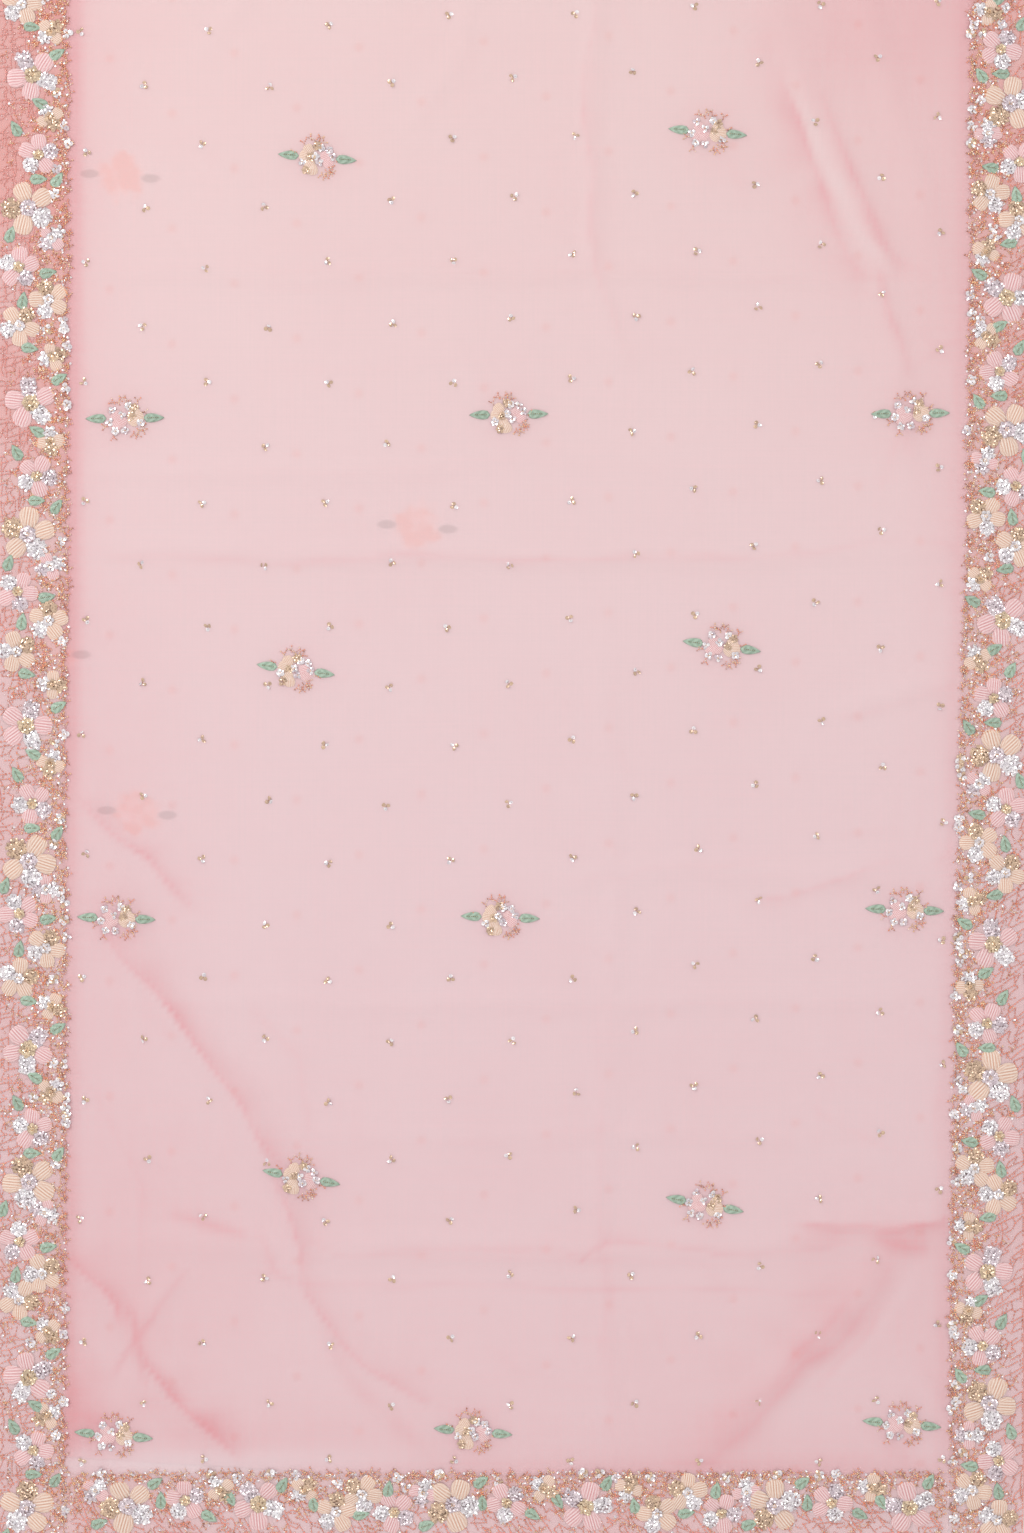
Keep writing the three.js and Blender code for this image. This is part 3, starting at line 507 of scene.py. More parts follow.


# %% Fold marks of the front: deeper pink, painted shade and painted highlights
# Strength above 0 is deeper pink with painted shade, and below 0 a painted highlight where a ridge catches
# the light. The soft side is where the wide painted shade falls.
FOLDS = [  # strength (below 0 is paler), half width, soft side (0 both, 1 left of its run, -1 right), line
    (0.30, 10, 1, [(-477, 412), (-295, 410), (-124, 408), (90, 404), (262, 401), (454, 399)]),
    (0.14, 5, 0, [(-380, 303), (-231, 306), (-124, 309), (133, 320), (251, 314)]),
    (0.15, 6, 0, [(-477, 190), (-295, 194), (-124, 200), (-17, 207), (262, 198)]),
    (0.40, 4, 0, [(-434, 106), (-348, 103), (-273, 98), (-124, 105), (5, 102), (133, 102), (240, 105),
                  (315, 108), (411, 123)]),
    (0.22, 9, 1, [(-423, 102), (-273, 95), (-124, 101), (133, 98), (304, 104), (401, 117)]),
    (0.14, 5, 0, [(-423, -14), (-295, -18), (-124, -22)]),
    (0.10, 5, 0, [(80, -134), (176, -131), (262, -136)]),
    (0.22, 3, 0, [(48, -241), (90, -238), (114, -243), (133, -228), (219, -223), (294, -211)]),
    (0.48, 6, -1, [(251, -261), (304, -253), (347, -241), (379, -226), (401, -221)]),
    (0.10, 5, 0, [(-231, -372), (-124, -374), (48, -378), (197, -373), (454, -371)]),
    (0.20, 8, 0, [(-209, -529), (-156, -523), (-102, -528), (5, -515), (90, -510), (197, -512),
                  (315, -517)]),
    (0.44, 4, 1, [(-224, -624), (-207, -632), (-182, -640), (-102, -638), (-17, -635), (48, -634),
                  (71, -643), (95, -626), (144, -630), (219, -639), (283, -636), (358, -630)]),
    (0.26, 6, 0, [(-124, -649), (5, -641), (90, -645), (197, -651), (262, -643)]),
    (0.70, 6, -1, [(304, -607), (347, -611), (390, -613), (444, -605), (478, -596)]),
    (0.56, 9, 0, [(377, -622), (407, -630), (438, -636)]),
    (0.32, 3, 0, [(-284, -658), (-231, -670), (-124, -672), (48, -674), (197, -677), (369, -680)]),
    (0.44, 6, 1, [(84, 701), (73, 637), (72, 583), (80, 519), (76, 450), (84, 412), (103, 359),
                  (118, 314)]),
    (0.16, 22, 0, [(63, 701), (54, 562), (54, 401)]),
    (0.20, 6, 0, [(90, -380), (87, -487), (89, -583), (92, -647), (97, -722), (103, -792), (102, -863)]),
    (0.26, 4, 0, [(86, -632), (97, -649), (95, -690), (90, -743)]),
    (0.20, 6, 1, [(-487, -408), (-466, -449), (-440, -487), (-415, -529), (-402, -567), (-401, -626),
                  (-402, -690)]),
    (0.34, 14, 0, [(264, 701), (266, 648), (281, 583), (300, 520)]),
    (0.60, 15, -1, [(284, 610), (309, 540), (333, 466), (352, 424), (370, 398)]),
    (-0.52, 5, 0, [(292, 612), (322, 540), (352, 470), (374, 434), (394, 412)]),
    (0.54, 6, 0, [(325, 600), (347, 540), (375, 466), (394, 430), (410, 408)]),
    (0.52, 5, 0, [(386, 406), (397, 369), (407, 335), (415, 297)]),
    (0.26, 4, 0, [(337, 491), (371, 448), (407, 421), (444, 404)]),
    (0.22, 5, 0, [(103, 701), (114, 675), (133, 645)]),
    (0.22, 6, 0, [(417, 252), (403, 217), (382, 160)]),
    (0.20, 5, 0, [(424, 260), (417, 230), (429, 187)]),
    (0.18, 7, 0, [(342, 701), (328, 637), (304, 605)]),
    (0.16, 8, 0, [(433, 692), (411, 637), (404, 562)]),
    (0.18, 6, 0, [(187, 562), (230, 519), (253, 482)]),
    (0.22, 5, 0, [(428, 348), (444, 324), (465, 312)]),
    (0.22, 5, 0, [(474, 337), (450, 327), (417, 303)]),
    (0.24, 5, 0, [(439, 123), (460, 117), (480, 106)]),
    (0.18, 4, 0, [(450, 63), (465, 70), (478, 72)]),
    (0.28, 3, 0, [(326, -63), (347, -66), (367, -64), (390, -57), (417, -47)]),
    (0.22, 6, 0, [(417, -47), (444, -42), (476, -31)]),
    (0.22, 5, 0, [(444, -146), (461, -136), (478, -123)]),
    (0.26, 6, 0, [(478, -194), (459, -208), (444, -226)]),
    (0.20, 6, 0, [(304, -187), (358, -194), (411, -185)]),
    (0.62, 8, 1, [(-462, -157), (-432, -189), (-395, -217), (-363, -253), (-346, -271)]),
    (0.22, 12, 0, [(-477, -80), (-440, -116), (-415, -144)]),
    (0.70, 7, 1, [(-449, -283), (-419, -320), (-391, -352), (-367, -380), (-333, -427), (-299, -474),
                  (-271, -521), (-248, -549)]),
    (0.30, 16, 0, [(-412, -315), (-370, -373), (-316, -448), (-275, -508)]),
    (0.54, 6, 1, [(-271, -525), (-256, -562), (-239, -594), (-231, -636), (-227, -679)]),
    (0.60, 9, 1, [(-227, -677), (-211, -701), (-188, -733), (-160, -756), (-124, -780), (-94, -797)]),
    (0.44, 8, 0, [(-213, -711), (-181, -761), (-151, -799), (-119, -829), (-85, -863)]),
    (0.30, 6, 0, [(-284, -371), (-271, -390), (-231, -433), (-224, -508)]),
    (0.48, 6, 0, [(-372, -598), (-342, -605), (-314, -613), (-288, -622)]),
    (0.42, 5, 0, [(-278, -615), (-265, -639), (-260, -656), (-239, -669)]),
    (0.62, 8, 1, [(-485, -639), (-464, -656), (-440, -673), (-425, -692), (-421, -718)]),
    (0.46, 3, 0, [(-352, -656), (-378, -690), (-404, -726), (-432, -769)]),
    (0.50, 4, 0, [(-410, -694), (-405, -733), (-398, -780)]),
    (0.80, 9, 1, [(-406, -722), (-395, -754), (-372, -784), (-342, -814), (-310, -844), (-293, -863)]),
    (0.40, 14, 0, [(-423, -776), (-380, -801), (-327, -853)]),
    (0.22, 8, 0, [(-256, -752), (-260, -797), (-267, -846)]),
    (0.34, 10, 0, [(-481, -529), (-468, -572), (-483, -615)]),
    (0.58, 28, -1, [(397, -649), (384, -675), (364, -703), (339, -735), (304, -756), (279, -788),
                    (253, -818), (223, -846), (197, -870)]),
    (0.34, 5, 0, [(356, -679), (326, -718), (292, -752), (268, -786)]),
    (0.36, 5, 0, [(390, -690), (373, -722), (343, -756), (317, -782)]),
    (0.30, 7, 0, [(371, -814), (394, -840), (424, -868)]),
    (0.30, 7, 0, [(431, -754), (450, -786), (474, -818)]),
    (0.26, 6, 0, [(452, -444), (446, -487), (450, -529)]),
    (0.24, 3, 0, [(307, -472), (332, -497), (379, -521), (416, -538)]),
    (0.20, 4, 0, [(420, -393), (444, -412), (465, -418)]),
    (0.20, 3, 0, [(26, -617), (43, -632), (63, -641)]),
    (0.18, 4, 0, [(61, -671), (50, -694), (54, -729)]),
    (0.18, 4, 0, [(138, -688), (148, -707), (159, -743)]),
    (0.16, 4, 0, [(140, -540), (148, -557), (163, -572)]),
    (0.26, 7, 0, [(202, -656), (215, -669), (225, -671)]),
    (0.18, 5, 0, [(103, -91), (112, -116), (133, -131)]),
    (0.16, 5, 0, [(97, -185), (105, -211), (120, -228)]),
    (0.16, 6, 0, [(-38, -733), (5, -765), (80, -782)]),
    # Rows below 0: painted highlights along ridges that catch the light.
    (-0.34, 6, 0, [(-437, -300), (-405, -338), (-376, -376), (-342, -424), (-306, -474), (-278, -520)]),
    (-0.30, 8, 0, [(420, -660), (405, -690), (386, -716), (360, -748), (322, -774)]),
    (-0.26, 5, 0, [(-392, -712), (-380, -748), (-356, -778), (-326, -806)]),
    (0.44, 14, 0, [(-480, -770), (-462, -800), (-452, -840)]),
    (0.40, 9, 0, [(-486, -720), (-468, -752), (-440, -776)]),
    (0.30, 6, 0, [(-486, -812), (-460, -812), (-436, -822)]),
]
print(f"{len(FOLDS)} fold marks")

# %% Sprays, and patches of deeper pink, painted shade and painted light
SPRAYS = [  # middles of the sprays, row by row from the top
    [(-424, 812), (-12, 818), (412, 830)], [(-213, 530), (203, 557)], [(-418, 252), (-9, 256), (419, 257)],
    [(-236, -16), (218, 9)], [(-427, -281), (-18, -280), (413, -272)], [(-230, -557), (200, -586)],
    [(-430, -832), (-47, -828), (410, -820)],
]
# Most of these are painted shade that deepens the pink toward the corners. Those below 0 are painted light,
# apart from the strip along the lower fold, which is paler because only the front lies there.
TINT_AND_SHADE_PATCHES = [  # soft changes of tint: centre, reach across and up, amount
    ((0, 860), (620, 120), -0.08),
    ((400, 700), (150, 110), 0.20),
    ((430, 480), (110, 200), 0.14),
    ((470, 240), (50, 240), 0.12),
    ((-500, 300), (60, 500), 0.08),
    ((-440, 720), (110, 230), 0.08),
    ((340, 660), (80, 110), 0.08),
    ((460, 680), (70, 130), 0.08),
    ((210, -856), (230, 44), 0.14),
    ((-300, -832), (200, 30), 0.12),
    ((-330, 420), (170, 300), -0.04),
    ((-430, -250), (90, 260), 0.10),
    ((-380, -640), (150, 140), 0.14),
    ((-470, -806), (36, 50), 0.26),
    ((-455, -690), (50, 80), 0.05),
    ((400, -690), (140, 120), 0.12),
    ((0, -560), (560, 260), 0.07),
    ((0, -780), (500, 90), 0.08),
    ((60, 100), (330, 330), -0.04),
    ((-320, -862), (180, 13), -0.26),
]
print(f"{sum(len(row) for row in SPRAYS)} sprays, {len(TINT_AND_SHADE_PATCHES)} patches")

# %% What the folds do to colour, painted shade and height
SHARP_HALF, SHARP_STRENGTH = 6, 0.5  # a fold gets a drawn line if it is this narrow or this strong
LINE_REACH = 22.0  # how far from a fold its drawn line counts
FOLD_TINT_AND_SHADE_SHARE = 0.72


def crease_marks(x, y):
    """For the shader: distance with a side to the nearest sharp fold, and how strong it is there. The shader
    draws from these a line of deeper pink and painted shade.
    """
    x, y = wander(x, y)
    best, off, share = np.full(np.shape(x), 1e9), np.zeros(np.shape(x)), np.zeros(np.shape(x))
    for strength, w, _, line in FOLDS:
        if strength < 0.0 or w > SHARP_HALF and strength < SHARP_STRENGTH:
            continue
        distance, side, along = off_line(line, x, y)
        nearer = distance < best
        fade = ease(1.0 - distance / LINE_REACH) * swell(along)
        best = np.where(nearer, distance, best)
        off = np.where(nearer, side, off)
        share = np.where(nearer, fade * strength, share)
    return off, share


def fold_tint_and_shade(x, y):
    """Deeper pink where folded cloth lies doubled in the way of the light, with painted shade spread to a
    fold's soft side and painted highlights from rows below 0.
    """
    x, y = wander(x, y)
    total = np.zeros(np.shape(x))
    for strength, w, soft, line in FOLDS:
        distance, side, along = off_line(line, x, y)
        both = np.exp(-((distance / (1.2 * w)) ** 2))
        one = np.where(side * soft > 0, np.exp(-distance / (1.7 * w)), np.exp(-((distance / (0.4 * w)) ** 2)))
        patchy = 0.8 + 0.4 * np.sin(x / 17.0 + 1.7 * np.sin(y / 23.0)) * np.sin(y / 19.0)
        ends = 0.3 + 0.7 * swell(along)
        total += FOLD_TINT_AND_SHADE_SHARE * strength * abs(strength) * (one if soft else both) * patchy * ends
    return np.clip(total, -0.2, 0.7)


def wrinkle_height(x, y):
    """Low ridges under the wider folds, and a slow wave over the whole cloth."""
    rise = np.zeros(np.shape(x))
    bx, by = wander(x, y)
    for strength, w, _, line in FOLDS:
        if w >= 5:
            distance, _, along = off_line(line, bx, by)
            ridge = 1.7 * abs(strength) * np.exp(-((distance / w) ** 2))
            rise = np.maximum(rise, ridge * swell(along))
    slow = 0.25 * np.sin(x / 61.0 + np.sin(y / 97.0)) * np.sin(y / 83.0 + 0.7)
    return (rise + slow) * ease(inside_bands(x, y) / 22.0)


def front_blush_and_shade(x, y):
    """How deep the pink is: more beside the bands, where the strip is painted shadow as well as deeper pink,
    with painted shade and painted light in soft patches and along the folds.
    """
    inside = inside_bands(x, np.minimum(y, FOLD_Y - 60.0))
    side = np.where(x < 0.0, 0.45 + 0.6 * ease((y + 350.0) / 500.0), 0.45)
    narrow, wide = np.exp(-(((inside - 4.0) / 10.0) ** 2)), np.exp(-np.abs(inside) / 34.0)
    value = 0.17 + side * (0.24 * narrow + 0.16 * wide)
    for (cx, cy), (rx, ry), amount in TINT_AND_SHADE_PATCHES:
        value = value + amount * np.exp(-(((x - cx) / rx) ** 2) - ((y - cy) / ry) ** 2)
    value = value + fold_tint_and_shade(x, y) * ease((inside + 2.0) / 8.0)
    for row in SPRAYS:
        for cx, cy in row:
            value = value + 0.13 * np.exp(-((np.hypot(x - cx, y - cy) / 30.0) ** 2))
    return value


# %% Make the front stretch
FRONT_N = 0.75  # heights called n count up from the underside of the front, in millimetres
UNDER_Y = FOLD_Y + CURL * np.linspace(0, 1, 7)[1:]  # rows that turn under at the top
front_y = np.concatenate([np.linspace(END_Y, FOLD_Y, 306), UNDER_Y])
front_u = np.linspace(0.0, 1.0, 181)
gy, gu = np.meshgrid(front_y, front_u, indexing="ij")
edge_y = np.minimum(gy, FOLD_Y)
gx = edge("front", "left", edge_y) + (edge("front", "right", edge_y) - edge("front", "left", edge_y)) * gu
points = place(gx, gy, FRONT_N)
points[..., 2] += np.where(gy <= FOLD_Y, wrinkle_height(gx, gy), 0.0)
off, share = crease_marks(gx, gy)
share *= ease(inside_bands(gx, gy) / 14.0)
organza_front = sheet_mesh("organza_front", points, veil, {
    "blush": front_blush_and_shade(gx, gy), "crease_off": off, "crease_share": share, "cover": np.ones(gx.shape)})

# %% [markdown]
# ## Grounds of the bands
# The flowers are sewn on the same organza, but tulle behind them and three layers of work make that
# strip the deepest pink. A strip of its own, just above the front, carries the tint and all the
# stitches, and moving a band then means moving one object.

# %% Three band grounds
GROUND_N = 1.45  # height of the grounds, above the front's 0.75
BAND_DEPTH = {"left": 1.0, "right": 0.85, "end": 1.1}


def band_tint(x, y, t):
    """Deepest near the cloth's edge at the top left, paler down the cloth."""
    down = ease((y + 200.0) / 900.0)
    return 0.22 + 0.46 * down + 0.08 * np.sin(y / 37.0 + x / 90.0) + 0.06 * ease((t - 30.0) / 25.0)


def band_sheet(band, x, y, t):
    """A strip of ground. It fades out toward its inner edge, where the flowers stop."""
    none = np.zeros(x.shape)
    return sheet_mesh("band_ground_" + band, place(x, y, GROUND_N), band_veil, {
        "blush": band_tint(x, y, t) * BAND_DEPTH[band], "crease_off": none, "crease_share": none,
        "cover": 1.0 - ease((t - 70.0) / 10.0)}, flip=band == "right")


def side_band(side):
    y = np.concatenate([np.linspace(END_Y, FOLD_Y, 430), UNDER_Y])
    y, t = np.meshgrid(y, np.linspace(0.4, BAND, 19), indexing="ij")
    x = edge("front", side, np.minimum(y, FOLD_Y)) + (t if side == "left" else -t)
    return band_sheet(side, x, y, t)


ground_left, ground_right = side_band("left"), side_band("right")
INNER_LEFT, INNER_RIGHT = EDGES["front"][0][1] + BAND, EDGES["front"][0][2] - BAND
yy, xx = np.meshgrid(np.linspace(END_Y + 0.4, END_Y + BAND, 19), np.linspace(INNER_LEFT, INNER_RIGHT, 220),
                     indexing="ij")
ground_end = band_sheet("end", xx, yy, yy - END_Y)

# %% [markdown]
# ## Second and third stretches
# These two are one strip as well. It starts at the top fold, runs down beneath the front, turns at
# the lower fold and runs back up along the table. One grid follows that whole path, because a join
# at the lower fold would show as a line through the veil.

# %% One strip through the lower fold
SECOND_Z, THIRD_Z, FOLD_CENTRE, FOLD_REACH = 2.6, 0.9, 1.8, 0.85
HIDDEN_LEFT, HIDDEN_WIDE = -548.0, 1119.0


def hidden_point(f, u):
    """f runs 0 to 1 down the second stretch, 1 to 2 round the fold and 2 to 3 up the third."""
    turn = lower_fold(HIDDEN_LEFT + HIDDEN_WIDE * u) + FOLD_REACH
    start = FOLD_Y - 0.3
    down = np.clip(f, 0.0, 1.0)
    up = np.clip(f - 2.0, 0.0, 1.0)
    angle = np.pi * np.clip(f - 1.0, 0.0, 1.0)
    by_part = lambda second, fold, third: np.where(f <= 1.0, second, np.where(f >= 2.0, third, fold))
    y = by_part(start + (turn - start) * down, turn - FOLD_REACH * np.sin(angle),
                turn + (RAW_END_Y - turn) * up)
    share = by_part(0.0, angle / np.pi, 1.0)
    left = edge("second", "left", y) * (1.0 - share) + edge("third", "left", y) * share
    right = edge("second", "right", y) * (1.0 - share) + edge("third", "right", y) * share
    x = left + (right - left) * u
    half = SECOND_Z - FOLD_CENTRE
    settle = (FOLD_CENTRE - half - THIRD_Z) * (1.0 - ease(up * 40.0))
    z = by_part(SECOND_Z, FOLD_CENTRE + half * np.cos(angle), THIRD_Z + settle)
    ridge = np.exp(-((np.mod(y + 0.2 * x, 257.0) - 120.0) / 16.0) ** 2)
    soft = 0.32 * np.sin(x / 71.0 + y / 190.0) * np.sin(y / 103.0 + 1.1) + 0.25 * ridge
    return x, y, z + soft * by_part(ease(down * 20.0) * ease((1.0 - down) * 20.0), 0.0, ease(up * 20.0))


f = np.concatenate([np.linspace(0, 1, 120), np.linspace(1, 2, 7)[1:], np.linspace(2, 3, 80)[1:]])
f, u = np.meshgrid(f, np.linspace(0, 1, 81), indexing="ij")
in_band = np.minimum(u, 1.0 - u) * HIDDEN_WIDE
organza_hidden = sheet_mesh("organza_hidden", np.stack(hidden_point(f, u), axis=-1), hidden_veil,
                            {"blush": 0.12 + 0.55 * (1.0 - ease((in_band - BAND + 6.0) / 10.0))}, flip=True)

# %% [markdown]
# ## Sewn units and where they go
# A sequin, a bead, a padded petal and a satin leaf are each made once and repeated. Each place for
# one is a point that carries its own facing, spin, size and tint. Geometry Nodes put the unit on
# every point, and the tint goes along with it to the material.

# %% A list of places
class Places:
    """Points for sewn units. Sizes are in millimetres, and n is the height above the underside."""

    def __init__(self):
        self.rows = []

    def add(self, x, y, n, spin=0.0, grow=1.0, tint=(1.0, 1.0, 1.0), lean=(0.0, 0.0)):
        self.rows.append((x, y, n, spin, grow, *tint[:3], *lean))

    def made(self, name):
        """A mesh of loose points that lies on the cloth."""
        rows = np.array(self.rows, float)
        x, y, n = rows[:, 0], rows[:, 1], rows[:, 2]
        height = lambda a, b: place(a, b, 0.0)[..., 2]
        slope_x = (height(x + 2.0, y) - height(x - 2.0, y)) / 4.0
        slope_y = (height(x, y + 2.0) - height(x, y - 2.0)) / 4.0
        up = np.stack([rows[:, 8] - slope_x, rows[:, 9] - slope_y, np.ones(len(rows))], axis=-1)
        mesh = mesh_of(name, np.stack([x, y, height(x, y) + n], axis=-1))
        keep(mesh, "up", up / np.linalg.norm(up, axis=1)[:, None], "FLOAT_VECTOR", "vector")
        keep(mesh, "spin", rows[:, 3])
        keep(mesh, "grow", rows[:, 4] * MM)
        keep(mesh, "tint", np.c_[rows[:, 5:8], np.ones(len(rows))], "FLOAT_COLOR", "color")
        return put(name, mesh)


def new_tree(name, **inputs):
    """A Geometry Nodes tree: its bench, its incoming mesh and a wire for each named number."""
    tree = bpy.data.node_groups.new(name, "GeometryNodeTree")
    tree.interface.new_socket("Geometry", in_out="INPUT", socket_type="NodeSocketGeometry")
    for label, value in inputs.items():
        kind = "NodeSocketInt" if isinstance(value, int) else "NodeSocketFloat"
        tree.interface.new_socket(label, in_out="INPUT", socket_type=kind).default_value = value
    tree.interface.new_socket("Geometry", in_out="OUTPUT", socket_type="NodeSocketGeometry")
    bench = Bench(tree)
    source = tree.nodes.new("NodeGroupInput")
    return bench, [Wire(bench, s) for s in source.outputs if s.name]


def end_tree(bench, shape, material, spares=()):
    """Ends a tree: copies are made real, what only the tree needs is dropped, and the finish is set."""
    real = bench.add("GeometryNodeRealizeInstances", None, {0: shape})
    for spare in spares:
        real = bench.add("GeometryNodeRemoveAttribute", None, {"Geometry": real, "Name": spare})
    done = bench.add("GeometryNodeSetMaterial", None, {"Geometry": real, "Material": material})
    bench.add("NodeGroupOutput", None, {0: done})
    return bench.tree


def smooth(bench, shape):
    return bench.add("GeometryNodeSetShadeSmooth", None, {0: shape})


def set_down(bench, points, unit, material):
    """Ends a tree with a unit on every point, faced, spun and sized as the point says."""
    up, spin, grow = [bench.add("GeometryNodeInputNamedAttribute", {"data_type": kind}, {"Name": name})
                      for name, kind in (("up", "FLOAT_VECTOR"), ("spin", "FLOAT"), ("grow", "FLOAT"))]
    spun = bench.add("FunctionNodeEulerToRotation", None, {0: bench.vector(z=spin)})
    facing = bench.add("FunctionNodeAlignRotationToVector", {"axis": "Z"}, {"Rotation": spun, "Vector": up})
    spread = bench.add("GeometryNodeInstanceOnPoints", None, {
        "Points": points, "Instance": unit, "Rotation": facing, "Scale": bench.vector(grow, grow, grow)})
    return end_tree(bench, spread, material, ("up", "spin", "grow"))


def worked(piece, tree, **changes):
    """Runs a tree on a piece, keeps the plain mesh that comes out and drops the modifier."""
    modifier = piece.modifiers.new("work", "NODES")
    modifier.node_group = tree
    for item in tree.interface.items_tree:
        if item.in_out == "INPUT" and item.name != "Geometry":
            modifier[item.identifier] = changes.get(item.name, item.default_value)
    graph = bpy.context.evaluated_depsgraph_get()
    mesh = bpy.data.meshes.new_from_object(piece.evaluated_get(graph), depsgraph=graph)
    piece.modifiers.clear()
    piece.data = mesh
    mesh.name = piece.name
    print(f"{piece.name}: {sum(len(p.vertices) - 2 for p in mesh.polygons)} triangles")
    return piece


print("trees end in real geometry with its material")

# %% [markdown]
# ## Tinted finishes for the sewn units
# Sequins are plastic discs with a pearl or foil coat, threads are matt, and seed beads are glassy.
# One finish for each kind is enough, because the tint comes from an attribute of each unit and not
# from the material. Sixty materials for sixty shades would be harder to change.

# %% Sequin, thread, bead, leaf and net finishes
def sewn_finish(name, metallic, rough, coat, dark, fleck, ridge=0.0, sheen=0.0):
    """A finish that reads tint. Ridge is how much the crests of padded ribs whiten, a painted highlight,
    while the grooves take painted shade of the darker tone.
    """
    bench, close = new_finish(name)
    tint = light = bench.kept("tint", out=0)
    grain = bench.noise(bench.here(), fleck)
    shade = bench.step(grain, 0.3, 0.75)
    if ridge:
        # Ribbed finishes: painted highlight on the crests, painted shade in the grooves.
        shade = shade * 0.2 + bench.kept("ridge") * 0.8
        light = bench.blend(ridge, tint, (1.0, 0.96, 0.93, 1.0))
    colour = bench.blend(shade, bench.blend(1.0, tint, dark, "MULTIPLY"), light)
    return close({"Base Color": colour, "Metallic": metallic, "Roughness": rough, "Coat Weight": coat,
                  "Coat Roughness": 0.1, "Sheen Weight": sheen, "Normal": bench.bump(0.25, 0.0003, grain)})


sequin_finish = sewn_finish("sequin", 0.45, 0.19, 0.6, tone(222, 218, 224), 260.0)
# The padded thread and the satin leaf whiten their rib crests as a painted highlight.
thread_finish = sewn_finish("padded thread", 0.0, 0.55, 0.0, tone(228, 184, 180), 900.0,
                            ridge=0.62, sheen=0.3)
bead_finish = sewn_finish("seed bead", 0.1, 0.2, 0.6, tone(236, 220, 214), 500.0)
leaf_finish = sewn_finish("satin leaf", 0.0, 0.42, 0.1, tone(205, 210, 205), 800.0,
                          ridge=0.08, sheen=0.3)
net_finish = sewn_finish("net thread", 0.05, 0.4, 0.2, tone(240, 222, 218), 400.0)
print("five finishes read the attribute tint")

# %% [markdown]
# ## The units
# Each unit is small and has few faces, because it is repeated hundreds or thousands of times. A
# sequin is a low cone with a hole, which tips light to and fro as real cupped sequins do. A padded
# petal is a grid pressed round at its corners, domed and pleated into ribs.

# %% Trees for sequin and bead
def sequin_tree():
    bench, (points, sides, hole, cup) = new_tree("sequins", sides=8, hole=0.16, cup=0.2)
    cone = bench.add("GeometryNodeMeshCone", {"fill_type": "NONE"}, {
        "Vertices": sides, "Radius Top": hole, "Radius Bottom": 1.0, "Depth": cup})
    return set_down(bench, points, smooth(bench, cone), sequin_finish)


def bead_tree():
    bench, (points, around) = new_tree("seed beads", around=4)
    ball = bench.add("GeometryNodeMeshUVSphere", None, {"Segments": around, "Rings": 3, "Radius": 1.0})
    return set_down(bench, points, smooth(bench, ball), bead_finish)


# %% Trees for padded petal and satin leaf
LEAF_SLANT = 0.7  # how far a leaf's ribs lean back from its middle


def pad_tree(name, finish, leaf, **sizes):
    """A padded shape: a grid pressed to an outline, domed, and ribbed. A leaf tapers, and its ribs slant."""
    bench, (points, ribs, rows, half_width, dome, rib_height) = new_tree(name, **sizes)
    grid = bench.add("GeometryNodeMeshGrid", None, {
        "Size X": 2.0, "Size Y": 2.0, "Vertices X": rows, "Vertices Y": ribs * 2.0 + 1.0})
    u, v = bench.apart(bench.add("GeometryNodeInputPosition"))
    along = v
    if leaf:
        along = u - bench.add("ShaderNodeMath", {"operation": "ABSOLUTE"}, {0: v}) * LEAF_SLANT
        x, y = u, v * half_width * ((1.0 - u) ** 0.9) * ((1.0 + u) ** 0.45)
    else:
        x = u * ((1.0 - v * v * 0.42) ** 0.5)
        y = v * half_width * ((1.0 - u * u * 0.42) ** 0.5) * (0.93 + u * 0.09)
    wave = bench.add("ShaderNodeMath", {"operation": "SINE"}, {0: (along + 1.0) * ribs * (math.pi / 2)})
    crest = wave * wave
    z = (1.0 - u ** 4.0) * (1.0 - v ** 4.0) * (dome + crest * rib_height)
    shaped = bench.add("GeometryNodeSetPosition", None, {"Geometry": grid, "Position": bench.vector(x, y, z)})
    # The crest share, kept as ridge, gives each rib a painted highlight and painted shade in the finish.
    marked = bench.add("GeometryNodeStoreNamedAttribute", {"data_type": "FLOAT", "domain": "POINT"}, {
        "Geometry": shaped, "Name": "ridge", "Value": crest})
    return set_down(bench, points, marked, finish)


UNIT_TREES = {
    "petals": pad_tree("padded petals", thread_finish, False, ribs=7, rows=5, half_width=1.0, dome=0.14,
                       rib_height=0.07),
    "sequins": sequin_tree(),
    "beads": bead_tree(),
    "leaves": pad_tree("satin leaves", leaf_finish, True, ribs=5, rows=9, half_width=0.54, dome=0.12,
                       rib_height=0.05),
}
print("units: sequin, bead, petal, leaf")

# %% [markdown]
# ## The running floral band
# The bands repeat every 346 mm: two large flowers, medium and small ones between them, and leaves.
# A plain repeat looks printed. A hand that follows a drawn line drifts a little, so each
# flower sways and turns by a sum of sines, which is the same at every run.

# %% Flowers and leaves of one repeat
REPEAT = 346.0
BAND_FLOWERS = [  # along, in from the edge, radius, kind
    (0, 37, 30, "large peach"), (60, 44, 22, "medium pink"), (100, 60, 14, "small peach"),
    (142, 38, 28, "large pink"), (188, 61, 14, "small peach"), (221, 27, 22, "medium peach"),
    (252, 56, 21, "medium peach"), (286, 27, 22, "medium pink"), (314, 58, 14, "small pink"),
]
BAND_LEAVES = [(30, 68, 35), (34, 44, 90), (88, 24, -30), (112, 45, -60), (165, 68, 60), (197, 38, 100),
               (251, 28, 10), (280, 58, 80), (318, 14, 20)]
BANDS = {  # start of the first repeat, sway, turn, and how far the outermost flowers move in
    "left": (40.0, 2.2, 0.3, 0.0), "right": (152.0, 1.7, 1.1, 0.0), "end": (64.0, 2.0, 2.0, 12.0)}
